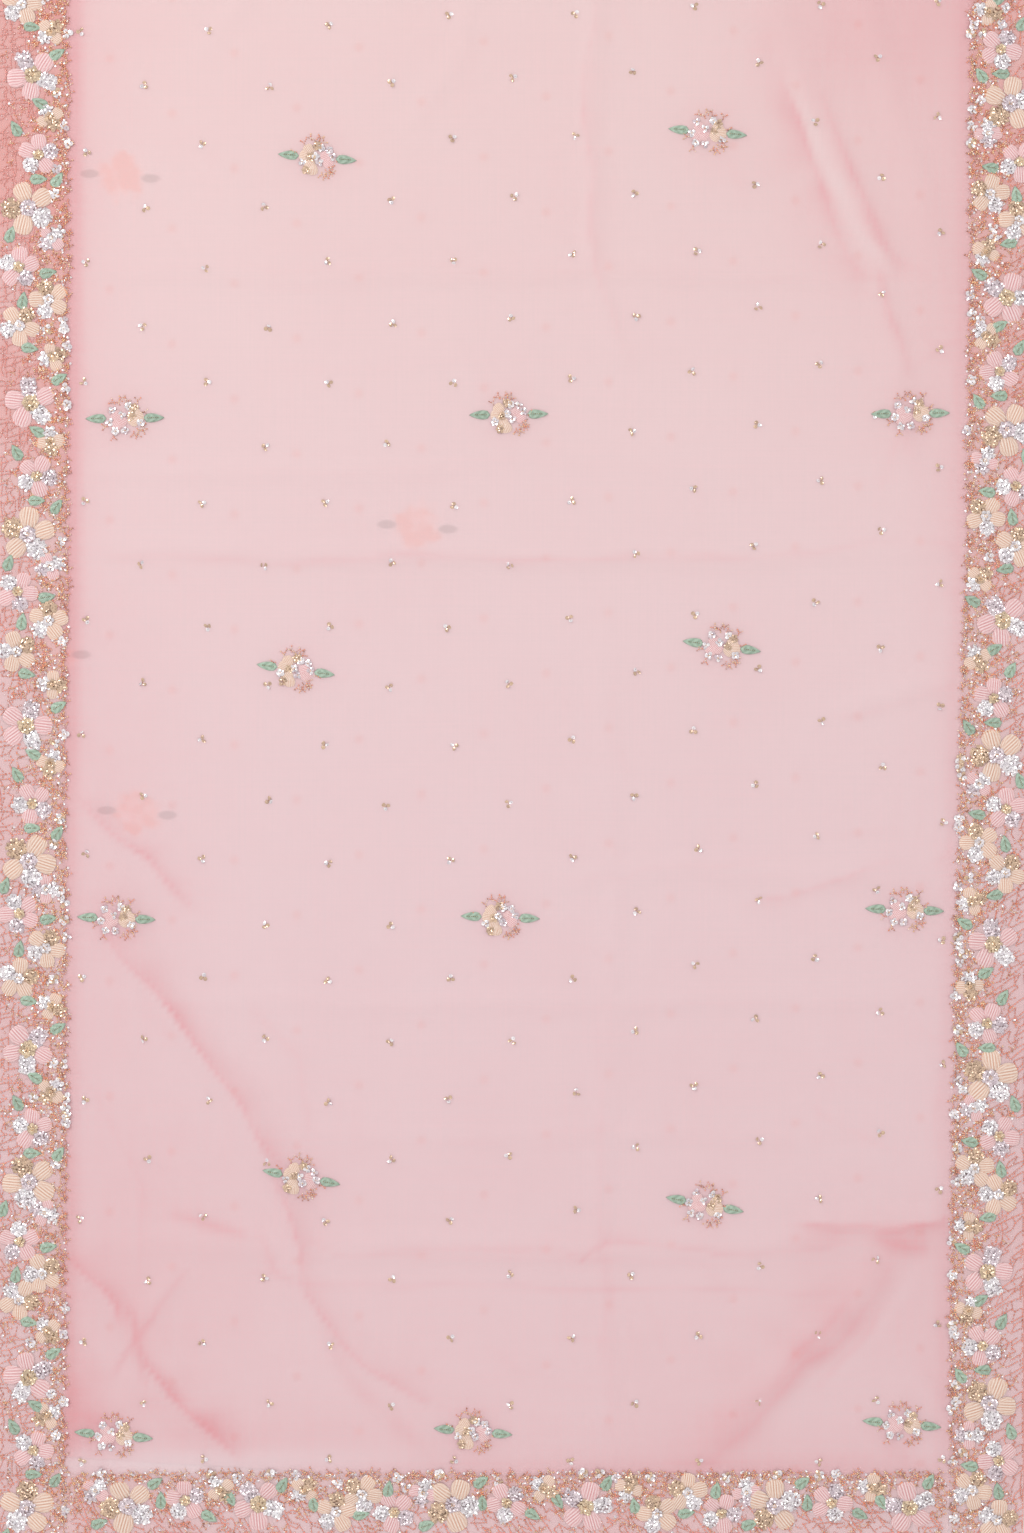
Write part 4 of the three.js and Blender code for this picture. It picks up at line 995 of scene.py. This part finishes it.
LENGTHS = {"left": FOLD_Y - END_Y - 8.0, "right": FOLD_Y - END_Y - 8.0, "end": INNER_RIGHT - INNER_LEFT}


def on_band(band, s, t):
    """A place on the cloth, from how far along a band and how far in from its edge."""
    if band == "end":
        return INNER_LEFT + float(s), END_Y + float(t)
    y = END_Y + float(s)
    return float(edge("front", band, y)) + (float(t) if band == "left" else -float(t)), y


def heading(band, angle):
    """A direction on a band, as an angle on the table."""
    return angle if band == "end" else (math.pi / 2 - angle if band == "left" else math.pi / 2 + angle)


def laid_out(band, rows, clear):
    """Every place of a repeat along a band: along, in, its turn and its row of the table."""
    start, sway, turn, lift = BANDS[band]
    kept = []
    for repeat in range(-1, 8):
        for i, row in enumerate(rows):
            s = start + repeat * REPEAT + row[0] + sway * math.sin(repeat * 2.1 + i * 1.7)
            t = row[1] + lift * (1.0 - row[1] / 62.0) + sway * math.sin(repeat * 1.3 + i * 2.9)
            if clear < s < LENGTHS[band] - clear:
                kept.append((s, t, turn + i * 0.9 + repeat * 0.4, row))
    return kept


flowers = {band: laid_out(band, BAND_FLOWERS, 20.0) for band in BANDS}
leaves = {band: laid_out(band, BAND_LEAVES, 10.0) for band in BANDS}
print("flowers:", {band: len(rows) for band, rows in flowers.items()})

# %% [markdown]
# ## Petals, centres and leaves
# A flower alternates padded thread petals with petals of overlapping sequins, and a heap of
# sequins covers its middle. Sequins are sewn in rows like roof tiles, so each is laid on a
# slanted hexagonal grid and tipped a few degrees, and it is the tipping that makes some flash.

# %% Colours of thread and sequins
PEACH, PINK = tone(212, 187, 152), tone(214, 167, 174)
WHITE, LILAC = tone(244, 239, 239), tone(230, 216, 219)
TAUPE, GOLD = tone(220, 190, 160), tone(240, 202, 154)
RUST, BROWN, NET = tone(238, 160, 124), tone(184, 126, 96), tone(238, 160, 140)
LEAF, VEIN = tone(160, 184, 164), tone(150, 118, 78)
CREAM, HONEY = tone(250, 230, 204), tone(226, 202, 168)
BEAD_MIX = (CREAM, GOLD, RUST, RUST, BROWN, GOLD, RUST)
KINDS = {  # thread, how many petals and the turn between them, sequins of the others and of the centre
    "large peach": (PEACH, 5, 72, (TAUPE, WHITE), LILAC),
    "large pink": (PINK, 5, 72, (WHITE, LILAC), HONEY),
    "medium peach": (PEACH, 5, 72, (TAUPE, WHITE), WHITE),
    "medium pink": (PINK, 5, 72, (WHITE, LILAC), HONEY),
    "small peach": (PEACH, 4, 88, (TAUPE, WHITE), TAUPE),
    "small pink": (PINK, 4, 88, (LILAC, WHITE), WHITE),
}
chance = np.random.RandomState(7)


def shade_of(colour, spread=0.08):
    """The colour a little darker or lighter, as no two of a batch are alike."""
    k = 1.0 + chance.uniform(-spread, spread)
    return tuple(min(1.0, c * k) for c in colour[:3])


def beside(x, y, angle, ahead, left=0.0):
    """The place that lies so far ahead and so far to the left of another, seen in a direction."""
    return (x + ahead * math.cos(angle) - left * math.sin(angle),
            y + ahead * math.sin(angle) + left * math.cos(angle))


def any_angle():
    return chance.uniform(0, 6.28)


def wobble(spread):
    """How far a sequin leans, along and across."""
    return chance.normal(0.0, spread), chance.normal(0.0, spread)


def heap(places, x, y, n, reach, colour, angle, size=2.5, pitch=3.7, rise=0.5, tip=0.34):
    """Overlapping sequins in a round patch."""
    rows = int(reach / (pitch * 0.87)) + 1
    for j in range(-rows, rows + 1):
        for i in range(-rows, rows + 1):
            a, b = (i + 0.5 * (j % 2)) * pitch, j * pitch * 0.87
            r = math.hypot(a, b)
            if r > reach:
                continue
            a, b = a + chance.uniform(-0.5, 0.5), b + chance.uniform(-0.5, 0.5)
            px, py = beside(x, y, angle, a, b)
            lean = np.clip(np.add(wobble(tip), ((px - x) * 0.03, (py - y) * 0.03)), -0.55, 0.55)
            places.add(px, py, n + rise * (1.0 - r / (reach + 2.0)) + chance.uniform(0.0, 0.5), any_angle(),
                       size * chance.uniform(0.88, 1.08), shade_of(colour, 0.16), lean)


# %% Sew the flowers
sewn = {part: {band: Places() for band in BANDS} for part in ("petals", "sequins", "beads", "leaves")}
BASE_N = 1.7  # the height at which the bands' work starts


def sew_flower(band, x, y, radius, kind, turn):
    """Petals in turn round a heap of sequins with five gold beads on top."""
    thread, petals, step, bright, middle = KINDS[kind]
    pad = 3.4 + radius * 0.26
    for k in range(petals):
        angle = turn + k * math.radians(step)
        px, py = beside(x, y, angle, radius * 0.6)
        if k % 2 == 0:
            sewn["petals"][band].add(px, py, BASE_N + 0.1 * k, angle + chance.uniform(-0.2, 0.2),
                                     pad * chance.uniform(0.94, 1.06), shade_of(thread, 0.05))
        else:
            heap(sewn["sequins"][band], px, py, BASE_N + 0.35, pad * 0.92, bright[(k // 2) % 2], angle)
    heap(sewn["sequins"][band], x, y, BASE_N + 1.25, radius * 0.27, middle, turn, rise=0.9)
    for k in range(5):
        sewn["beads"][band].add(*beside(x, y, turn + k * 1.257, 1.6), BASE_N + 2.7, 0.0, 0.8, shade_of(GOLD))


def sew_leaf(band, x, y, angle, half=9.8, n=BASE_N):
    """A satin leaf with a vein of six beads."""
    sewn["leaves"][band].add(x, y, n + 0.2, angle, half, shade_of(LEAF, 0.07))
    for k in range(6):
        sewn["beads"][band].add(*beside(x, y, angle, (-0.62 + k * 0.2) * half), n + half * 0.17 + 0.35,
                                0.0, 0.62, shade_of(VEIN))


for band, rows in flowers.items():
    for s, t, turn, (_, _, radius, kind) in rows:
        sew_flower(band, *on_band(band, s, t), radius, kind, turn)
for band, rows in leaves.items():
    for s, t, _, (_, _, degrees) in rows:
        sew_leaf(band, *on_band(band, s, t), heading(band, math.radians(degrees)))
print("petals:", {band: len(p.rows) for band, p in sewn["petals"].items()})

# %% [markdown]
# ## Florets and sprigs
# Between the flowers the ground is filled: florets of three to five sequins toward the inner edge, and
# forked sprigs of tiny gold beads. Filling by hand means looking for a free gap each time, which a
# script does by testing each candidate against everything already sewn.

# %% Fill the gaps of a band
def free_of(s, t, taken, gap):
    """Whether a place keeps a gap from every circle that is taken."""
    return all((s - a) ** 2 + (t - b) ** 2 > (r + gap) ** 2 for a, b, r in taken)


def covered(band, share, leaf):
    """Circles that the flowers and leaves of a band take up."""
    return ([(s, t, row[2] * share) for s, t, _, row in flowers[band]]
            + [(s, t, leaf) for s, t, _, _ in leaves[band]])


def sew_floret(places, beads, x, y, n, colours, size=3.0):
    """Three to five sequins in a ring round one gold bead."""
    turn = any_angle()
    count = chance.randint(3, 6)
    for k in range(count):
        angle = turn + k * 2 * math.pi / count
        places.add(*beside(x, y, angle, size * 1.05), n + 0.3 + chance.uniform(0, 0.4), angle,
                   size * chance.uniform(0.85, 1.1), shade_of(colours[k % len(colours)]),
                   np.clip(wobble(0.34), -0.45, 0.45))
    beads.add(x, y, n + 0.7, 0.0, 0.85, shade_of(GOLD))


SPRIG = ((0.0, 0), (2.1, 0), (4.0, 1), (4.2, -1), (6.1, 1), (6.3, -1))  # along the stem, and which fork


def sew_sprig(beads, x, y, angle, n, size=0.98, sequins=None):
    """A stem of beads that forks in two, with every bead drawn from the mixed box."""
    for d, side in SPRIG:
        fork = angle + side * 0.5 * min(1.0, (d - 2.4) / 2.4)
        beads.add(*beside(x, y, fork, d), n + chance.uniform(0.0, 0.2), 0.0,
                  size * chance.uniform(0.75, 1.15), shade_of(BEAD_MIX[chance.randint(7)], 0.1))
    if sequins is not None and chance.uniform() < 0.4:
        sequins.add(*beside(x, y, angle + 1.6, 2.0), n + 0.3, 0.0, 1.4, shade_of(WHITE), wobble(0.35))


FLORET_REACH, SPRIG_REACH, SPRIG_STEP = 4.4, 2.2, 5.2
counts = {"florets": 0, "sprigs": 0}
for band in BANDS:
    taken = covered(band, 0.9, 6.5)
    sequins, beads = sewn["sequins"][band], sewn["beads"][band]
    for s in np.arange(10.0, LENGTHS[band] - 8.0, 9.0):
        for t in (75.0, 66.0, 54.0, 42.0):
            t = t + chance.uniform(-3.0, 3.0)
            if chance.uniform() < (0.22 if t > 60 else 0.12) and free_of(s, t, taken, FLORET_REACH):
                colours = (WHITE, (WHITE, LILAC, TAUPE)[chance.randint(3)])
                sew_floret(sequins, beads, *on_band(band, s, t), BASE_N, colours)
                taken.append((s, t, FLORET_REACH))
                counts["florets"] += 1
    for row_s in np.arange(5.0, LENGTHS[band] - 4.0, SPRIG_STEP):
        for row_t in np.arange(14.0, BAND, SPRIG_STEP):
            s, t = row_s + chance.uniform(-2.4, 2.4), row_t + chance.uniform(-2.4, 2.4)
            wanted = chance.uniform() < 0.13 + 0.87 * ease((t - 30.0) / 24.0)
            if not wanted or t >= BAND + 1.0 or not free_of(s, t, taken, -0.6):
                continue
            aim = any_angle() if t <= BAND - 9.0 else heading(
                band, chance.uniform(-0.5, 0.5) + (math.pi if chance.uniform() < 0.5 else 0.0))
            sew_sprig(beads, *on_band(band, s, t), aim, BASE_N, sequins=sequins)
            taken.append((s, t, SPRIG_REACH))
            counts["sprigs"] += 1
print(counts, "beads:", {band: len(p.rows) for band, p in sewn["beads"].items()})

# %% [markdown]
# ## Net of bead chains
# The outer part of each band is a net of fine copper beads: rows across the band, tied to the next
# row by short links set like bricks. A texture could draw it, but the beads cast small
# shadows and catch light. Only its lines are laid out here, and a tree strings the beads.

# %% Tree that strings beads along lines
def chain_tree():
    bench, (lines, pitch, length, radius) = new_tree("bead chains", pitch=0.003, length=0.0024, radius=0.0006)
    curve = bench.add("GeometryNodeMeshToCurve", None, {"Mesh": lines})
    even = bench.add("GeometryNodeResampleCurve", {"mode": "LENGTH"}, {"Curve": curve, "Length": pitch})
    facing = bench.add("FunctionNodeAlignRotationToVector", {"axis": "Z"}, {
        "Vector": bench.add("GeometryNodeInputTangent")})
    tube = bench.add("GeometryNodeMeshCylinder", {"fill_type": "NONE"}, {
        "Vertices": 3, "Radius": radius, "Depth": length})
    spread = bench.add("GeometryNodeInstanceOnPoints", None, {
        "Points": even, "Instance": smooth(bench, tube), "Rotation": facing})
    return end_tree(bench, spread, net_finish)


chains_tree = chain_tree()


# %% Lay out and string the net
ROW_PITCH, LINK_PITCH, NET_DEPTH = 6.9, 8.6, 54.0
SLANTS = {"left": 0.22, "right": -0.6, "end": -0.6}
STREAKS, STREAK_DEPTH = {"left": 9, "right": 4, "end": 4}, 42.0  # chains that run along the band
SALMON = tone(236, 166, 158)


def brick_links(index):
    """From each node of a lattice to the next in its row and to the one in the next row."""
    return [(here, index[step]) for (k, j), here in index.items() for step in ((k, j + 1), (k + 1, j))
            if step in index]


def strung(name, points, links, salmon):
    """Strings beads along links. Salmon is how far each point's tint goes over to that colour."""
    mesh = mesh_of(name, points, links)
    tints = [[a * (1 - h) + b * h for a, b in zip(shade_of(NET, 0.16), SALMON)] + [1.0] for h in salmon]
    keep(mesh, "tint", tints, "FLOAT_COLOR", "color")
    return put(name, mesh)


def net_piece(band):
    """Rows across the band, wavy and slightly slanted, with links like bricks."""
    nodes, index, length = [], {}, LENGTHS[band]
    for k in range(int((length - 6.0) / ROW_PITCH)):
        for j in range(7):
            t = 1.6 if j == 0 else min(NET_DEPTH, (j + (k % 2) / 2) * LINK_PITCH + chance.uniform(-1.2, 1.2))
            s = (5.0 + k * ROW_PITCH + 1.5 * math.sin(t / 7.0 + k * 2.4) + SLANTS[band] * (t - 25.0)
                 + chance.uniform(-0.8, 0.8))
            if 3.0 < s < length - 3.0:
                index[k, j] = len(nodes)
                nodes.append((s, t))
    links = brick_links(index)
    for c in range(STREAKS[band]):
        s, last = 6.0, None
        while s < length - 4.0:
            nodes.append((s, 3.0 + c * STREAK_DEPTH / STREAKS[band] + chance.uniform(-1.3, 1.3)))
            upper = ease((s - 900.0) / 500.0) if band == "left" else 0.25
            if last is not None and chance.uniform() < 0.18 + 0.6 * upper:
                links.append((last, len(nodes) - 1))
            last = len(nodes) - 1
            s += chance.uniform(6.0, 10.0)
    solid = covered(band, 0.78, 5.0)
    kept = [(a, b) for a, b in links if chance.uniform() < 0.66
            and free_of((nodes[a][0] + nodes[b][0]) / 2, (nodes[a][1] + nodes[b][1]) / 2, solid, 0.0)]
    x, y = np.array([on_band(band, s, t) for s, t in nodes]).T
    high = ease((y + 100.0) / 500.0) if band == "left" else np.zeros(len(y))
    piece = strung("net_" + band, place(x, y, GROUND_N + 0.3), kept, high)
    for s, t in nodes:
        if chance.uniform() < 0.34 and free_of(s, t, solid, 0.0):
            sewn["beads"][band].add(*on_band(band, s, t), BASE_N + 0.5, 0.0, 0.65, shade_of(WHITE, 0.1))
    return worked(piece, chains_tree)


nets = [net_piece(band) for band in BANDS]

# %% [markdown]
# ## Sprays and loose sequins on the field
# Small sprays stand in staggered rows, each a handful of petals and florets between two leaves. The
# rest of the field is dotted with threes of sequins. The sprays are few, so their places are listed.
# The threes are many, so a rule lays them in staggered rows that climb and sag with the cloth.

# %% Sew the sprays
SPRAY_WORK = [  # places in millimetres from the middle of the spray
    {"thread": [(-9, 4, 2.4, PINK), (-5, -3, -0.6, PINK), (-11, -6, -2.2, PINK),
                (9, -4, -0.6, PEACH), (15, -1, 0.2, PEACH), (11, 5, 0.9, PEACH)],
     "florets": [(-18, -2, WHITE), (-13, 11, LILAC), (-13, -13, WHITE), (-2, -14, LILAC),
                 (-3, 4, WHITE), (6, 13, WHITE), (17, -8, WHITE)],
     "gold": [(12, 10), (8, 1)],
     "fans": [(-2, 16, 1.7, 4), (12, -14, -1.0, 5), (18, 8, 0.6, 2), (-18, -10, -2.4, 2)]},
    {"thread": [(-10, 8, 2.2, PEACH), (-14, 1, 2.9, PEACH), (-8, -9, -2.0, PEACH),
                (-5, -14, -1.4, PEACH), (10, 2, 0.4, PINK), (12, -5, -0.7, PINK)],
     "florets": [(-17, -6, WHITE), (-2, 1, WHITE), (4, 11, WHITE),
                 (17, 1, LILAC), (3, -6, LILAC), (13, 9, LILAC)],
     "gold": [(-8, 0), (-12, -15), (0, 13)],
     "fans": [(-1, 16, 1.5, 4), (10, -14, -0.9, 5), (-18, 9, 2.6, 2), (17, -9, -0.4, 2)]},
]
SPRAY_SIZE, LEAF_AWAY, SPRAY_REACH = 0.93, 31.0, 40.0
on_field = {part: Places() for part in sewn}
for part, places in on_field.items():
    sewn[part]["field"] = places
taken_field = []
for r, row in enumerate(SPRAYS):
    for i, (x, y) in enumerate(row):
        work = SPRAY_WORK[(r + i) % 2]
        turn = (r * 0.7 + i * 0.5) % 0.5 - 0.25

        def at(dx, dy):
            return beside(x, y, turn, SPRAY_SIZE * dx, SPRAY_SIZE * dy)

        for dx, dy, angle, thread in work["thread"]:
            on_field["petals"].add(*at(dx, dy), FRONT_N + 0.3, angle + turn, 6.3, shade_of(thread, 0.05))
        for dx, dy, colour in work["florets"]:
            sew_floret(on_field["sequins"], on_field["beads"], *at(dx, dy), FRONT_N + 0.7,
                       (colour, WHITE), 2.3)
        for dx, dy in work["gold"]:
            heap(on_field["sequins"], *at(dx, dy), FRONT_N + 0.8, 3.6, TAUPE, turn, size=2.1, pitch=3.3)
        for dx, dy, angle, sprigs in work["fans"]:
            for k in range(sprigs):
                spread = (k - (sprigs - 1) / 2) / max(1, sprigs - 1)
                root = beside(*beside(dx, dy, angle + spread, 3.5 * (k % 2)), angle, 0.0, 10.0 * spread)
                sew_sprig(on_field["beads"], *at(*root), angle + turn + 1.5 * spread, FRONT_N + 0.6, 0.95)
        lean = turn * 0.5 - 0.06
        for side in (-1, 1):
            aim = lean if side > 0 else math.pi + lean
            sew_leaf("field", *beside(x, y, lean, side * LEAF_AWAY), aim, 11.3, FRONT_N + 0.2)
        taken_field.append((x, y, SPRAY_REACH))
print(f"{len(taken_field)} sprays")

# %% Dot the field with threes of sequins
ROW_APART, PLACE_APART = 63.5, 130.6
FIRST_X, FIRST_Y, ROW_LONG, LAST_ROW = -462.8, 663.0, 913.5, 24
CLIMB, SAG = 36.0, 12.0
LOWEST_THREE, HIGHEST_THREE = -872.0, 935.0


def three_height(row, x):
    """Rows climb toward the right border, sag in the middle and level out near the pallu's end."""
    share = (x - FIRST_X) / ROW_LONG
    climb = CLIMB * float(ease((LAST_ROW + 0.5 - row) / 6.0))
    sag = SAG * math.sin(math.pi * row / LAST_ROW)
    return FIRST_Y - ROW_APART * row + climb * share + sag * (1.0 - 8.0 * share * (1.0 - share))


threes = 0
for row in range(-4, LAST_ROW + 1):
    for column in range(8 - row % 2):
        x = FIRST_X + PLACE_APART * (column + 0.5 * (row % 2)) + chance.uniform(-4, 4)
        y = three_height(row, x) + chance.uniform(-4, 4)
        on_cloth = float(inside_bands(x, min(y, 900.0))) > 4.0 and LOWEST_THREE < y < HIGHEST_THREE
        if not on_cloth or not free_of(x, y, taken_field, -8.0):
            continue
        turn = any_angle()
        for k, colour in enumerate((TAUPE, TAUPE, WHITE)):
            angle = turn + k * 2.1
            on_field["sequins"].add(*beside(x, y, angle, 2.7), FRONT_N + 0.35, angle, 2.25, shade_of(colour),
                                    wobble(0.3))
        on_field["beads"].add(x, y, FRONT_N + 0.7, 0.0, 0.6, shade_of(BROWN))
        threes += 1
print(f"{threes} threes of sequins")

# %% Turn every list of places into a piece
SLIM = 0.4  # half width of a leaf beside a spray, for a half length of 1
pieces = {}
for part, bands in sewn.items():
    for band, places in bands.items():
        changes = {"half_width": SLIM} if (part, band) == ("leaves", "field") else {}
        pieces[part, band] = worked(places.made(f"{part}_{band}"), UNIT_TREES[part], **changes)

# %% [markdown]
# ## Rolled edges
# Raw organza frays, so its edges are rolled and stitched into a cord less than two millimetres
# thick. A profile swept along the outline makes one, and Geometry Nodes does that with Curve to
# Mesh. The outline is read from the same tables as the sheets, so the roll sits on their rims.

# %% Tree and pieces for rolled edges
def roll_tree(finish):
    bench, (lines, radius) = new_tree("rolled edge", radius=0.0006)
    curve = bench.add("GeometryNodeMeshToCurve", None, {"Mesh": lines})
    ring = bench.add("GeometryNodeCurvePrimitiveCircle", None, {"Resolution": 6, "Radius": radius})
    tube = bench.add("GeometryNodeCurveToMesh", None, {
        "Curve": curve, "Profile Curve": ring, "Fill Caps": True})
    return end_tree(bench, smooth(bench, tube), finish)


def rolled_finish():
    bench, close = new_finish("rolled edge")
    twist = bench.noise(bench.here(), 700.0)
    colour = bench.blend(bench.step(twist, 0.3, 0.7), tone(214, 150, 145), tone(232, 182, 178))
    return close({"Base Color": colour, "Roughness": 0.6, "Sheen Weight": 0.2,
                  "Normal": bench.bump(0.3, 0.0003, twist)})


rolls_tree = roll_tree(rolled_finish())


def rolled(name, line, radius):
    mesh = mesh_of(name, line, [(i, i + 1) for i in range(len(line) - 1)])
    return worked(put(name, mesh), rolls_tree, radius=radius * MM)


IN = 0.8  # how far a roll's middle is inside the rim
side_y = np.linspace(END_Y + IN, FOLD_Y, 220)
end_x = np.linspace(EDGES["front"][0][1] + IN, EDGES["front"][0][2] - IN, 160)
front_rolls = [
    rolled("rolled_edge_left", place(edge("front", "left", side_y) + IN, side_y, 0.95), 0.75),
    rolled("rolled_edge_right", place(edge("front", "right", side_y) - IN, side_y, 0.95), 0.75),
    rolled("rolled_edge_end", place(end_x, END_Y + IN, 0.95), 0.75),
]
hidden_rolls = []
for side, u, inward in (("left", 0.0, IN), ("right", 1.0, -IN)):
    for stretch, f in (("second", np.linspace(0.01, 0.995, 120)), ("third", np.linspace(2.005, 3, 120))):
        x, y, z = hidden_point(f, u)
        line = np.stack([x + inward, y, np.maximum(z, 0.75)], axis=-1)
        hidden_rolls.append(rolled(f"rolled_edge_{stretch}_{side}", line, 0.65))
raw_x = np.linspace(-570.0, 546.0, 120)
raw_line = np.stack([raw_x, np.full(120, RAW_END_Y - IN), np.full(120, 0.8)], axis=-1)
hidden_rolls.append(rolled("rolled_edge_inner_end", raw_line, 0.7))


# %% [markdown]
# ## The net beneath
# Beside the front's borders a strip of the second stretch peeps out, and it is embroidered too. Only
# that strip gets a net: stitches under the front could never be seen, so they would be wasted
# triangles. The points are asked for in the hidden cloth's own measures, so they follow its fold.

# %% Net on the strip of the second stretch that shows
TUCKED = 9.0  # how far the net goes on beneath the front's rim


def hidden_net(side):
    """The same net on the layer beneath, only where that layer peeps out beside the front."""
    outward = -1.0 if side == "left" else 1.0
    nodes, index = [], {}
    for k, f in enumerate(np.linspace(0.01, 0.98, 250)):
        for j in range(5):
            share = (2.0 + LINK_PITCH * (j + 0.5 * (k % 2)) + chance.uniform(-1.0, 1.0)) / HIDDEN_WIDE
            f_near = f + chance.uniform(-0.0004, 0.0004)
            x, y, z = hidden_point(f_near, share if side == "left" else 1.0 - share)
            if (x - edge("front", side, y)) * outward > -TUCKED:
                index[k, j] = len(nodes)
                nodes.append((x, y, z + 0.9))
    links = [link for link in brick_links(index) if chance.uniform() < 0.7]
    return worked(strung("hidden_net_" + side, nodes, links, np.zeros(len(nodes))), chains_tree)


hidden_nets = [hidden_net(side) for side in ("left", "right")]

# %% [markdown]
# ## Room and light
# Sequins only look like sequins when there is something bright to mirror. A white dome lights
# the cloth evenly, and a few soft panels give the tipped sequins their flashes. The table is plain and
# pale, and the veil takes its lightness from it.

# %% Table, dome and panels
def table_finish():
    bench, close = new_finish("pale table")
    mottle = bench.noise(bench.here(), 3.0, 3.0)
    colour = bench.blend(mottle, tone(226, 222, 221), tone(233, 229, 228))
    return close({"Base Color": colour, "Roughness": 0.85})


FLOOR_HALF, FLOOR_Z = 6000.0, -0.2
corners = [(x * FLOOR_HALF, y * FLOOR_HALF, FLOOR_Z) for x, y in ((-1, -1), (1, -1), (1, 1), (-1, 1))]
floor = put("floor", mesh_of("floor", corners, faces=[(0, 1, 2, 3)]))
floor.data.materials.append(table_finish())
floor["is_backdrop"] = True

world = bpy.data.worlds.new("white room")
bpy.context.scene.world = world
world.use_nodes = True
background = world.node_tree.nodes["Background"]
background.inputs["Color"].default_value = (1.0, 0.985, 0.98, 1.0)
background.inputs["Strength"].default_value = 0.81


def panel(name, where, size, power):
    """A soft square light, turned to face the middle of the cloth."""
    light = bpy.data.lights.new(name, "AREA")
    light.shape, light.size, light.energy = "SQUARE", size, power
    lamp = put(name, light)
    lamp.location = x, y, z = where
    lamp.rotation_euler = (math.atan2(math.hypot(x, y), z), 0.0, math.atan2(x, -y))
    return lamp


panels = [panel("panel_left", (-2.2, 1.6, 2.4), 1.2, 48), panel("panel_right", (2.4, 1.0, 2.6), 1.0, 22),
          panel("panel_low", (-0.6, -2.8, 2.2), 0.9, 14)]
bpy.context.scene.view_settings.view_transform = "Standard"
print(f"{len(panels)} panels")

# %% [markdown]
# ## Attach the pieces
# Every visible piece is attached to the root body, and the imported solids that these pieces
# stand in for are hidden.

# %% Bodies, and hidden solids
for piece in [organza_front, organza_hidden, *hidden_rolls, *hidden_nets]:
    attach(piece, "root")
for piece in [ground_left, ground_right, ground_end, *front_rolls, *nets, *pieces.values()]:
    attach(piece, "root")
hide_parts("pallu_field")
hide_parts("hidden_layers")
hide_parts("border_left")
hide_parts("border_right")
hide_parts("border_end")

front_rolls + [pieces[part, "field"] for part in sewn]
hidden_rolls + hidden_nets
for ground, net, band, length in zip((ground_left, ground_right, ground_end), nets, BANDS, (1.9, 1.9, 0.94)):
    [net] + [pieces[part, band] for part in sewn]
total = sum(len(face.vertices) - 2 for thing in bpy.context.scene.objects
            if thing.type == "MESH" and not thing.hide_render for face in thing.data.polygons)
print(f"about {total} triangles in all")

# %% Keep the visual box and finish
seen_box = [list(corner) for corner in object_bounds()]
print("visual box, mm:", [[round(v * 1000, 1) for v in corner] for corner in seen_box])
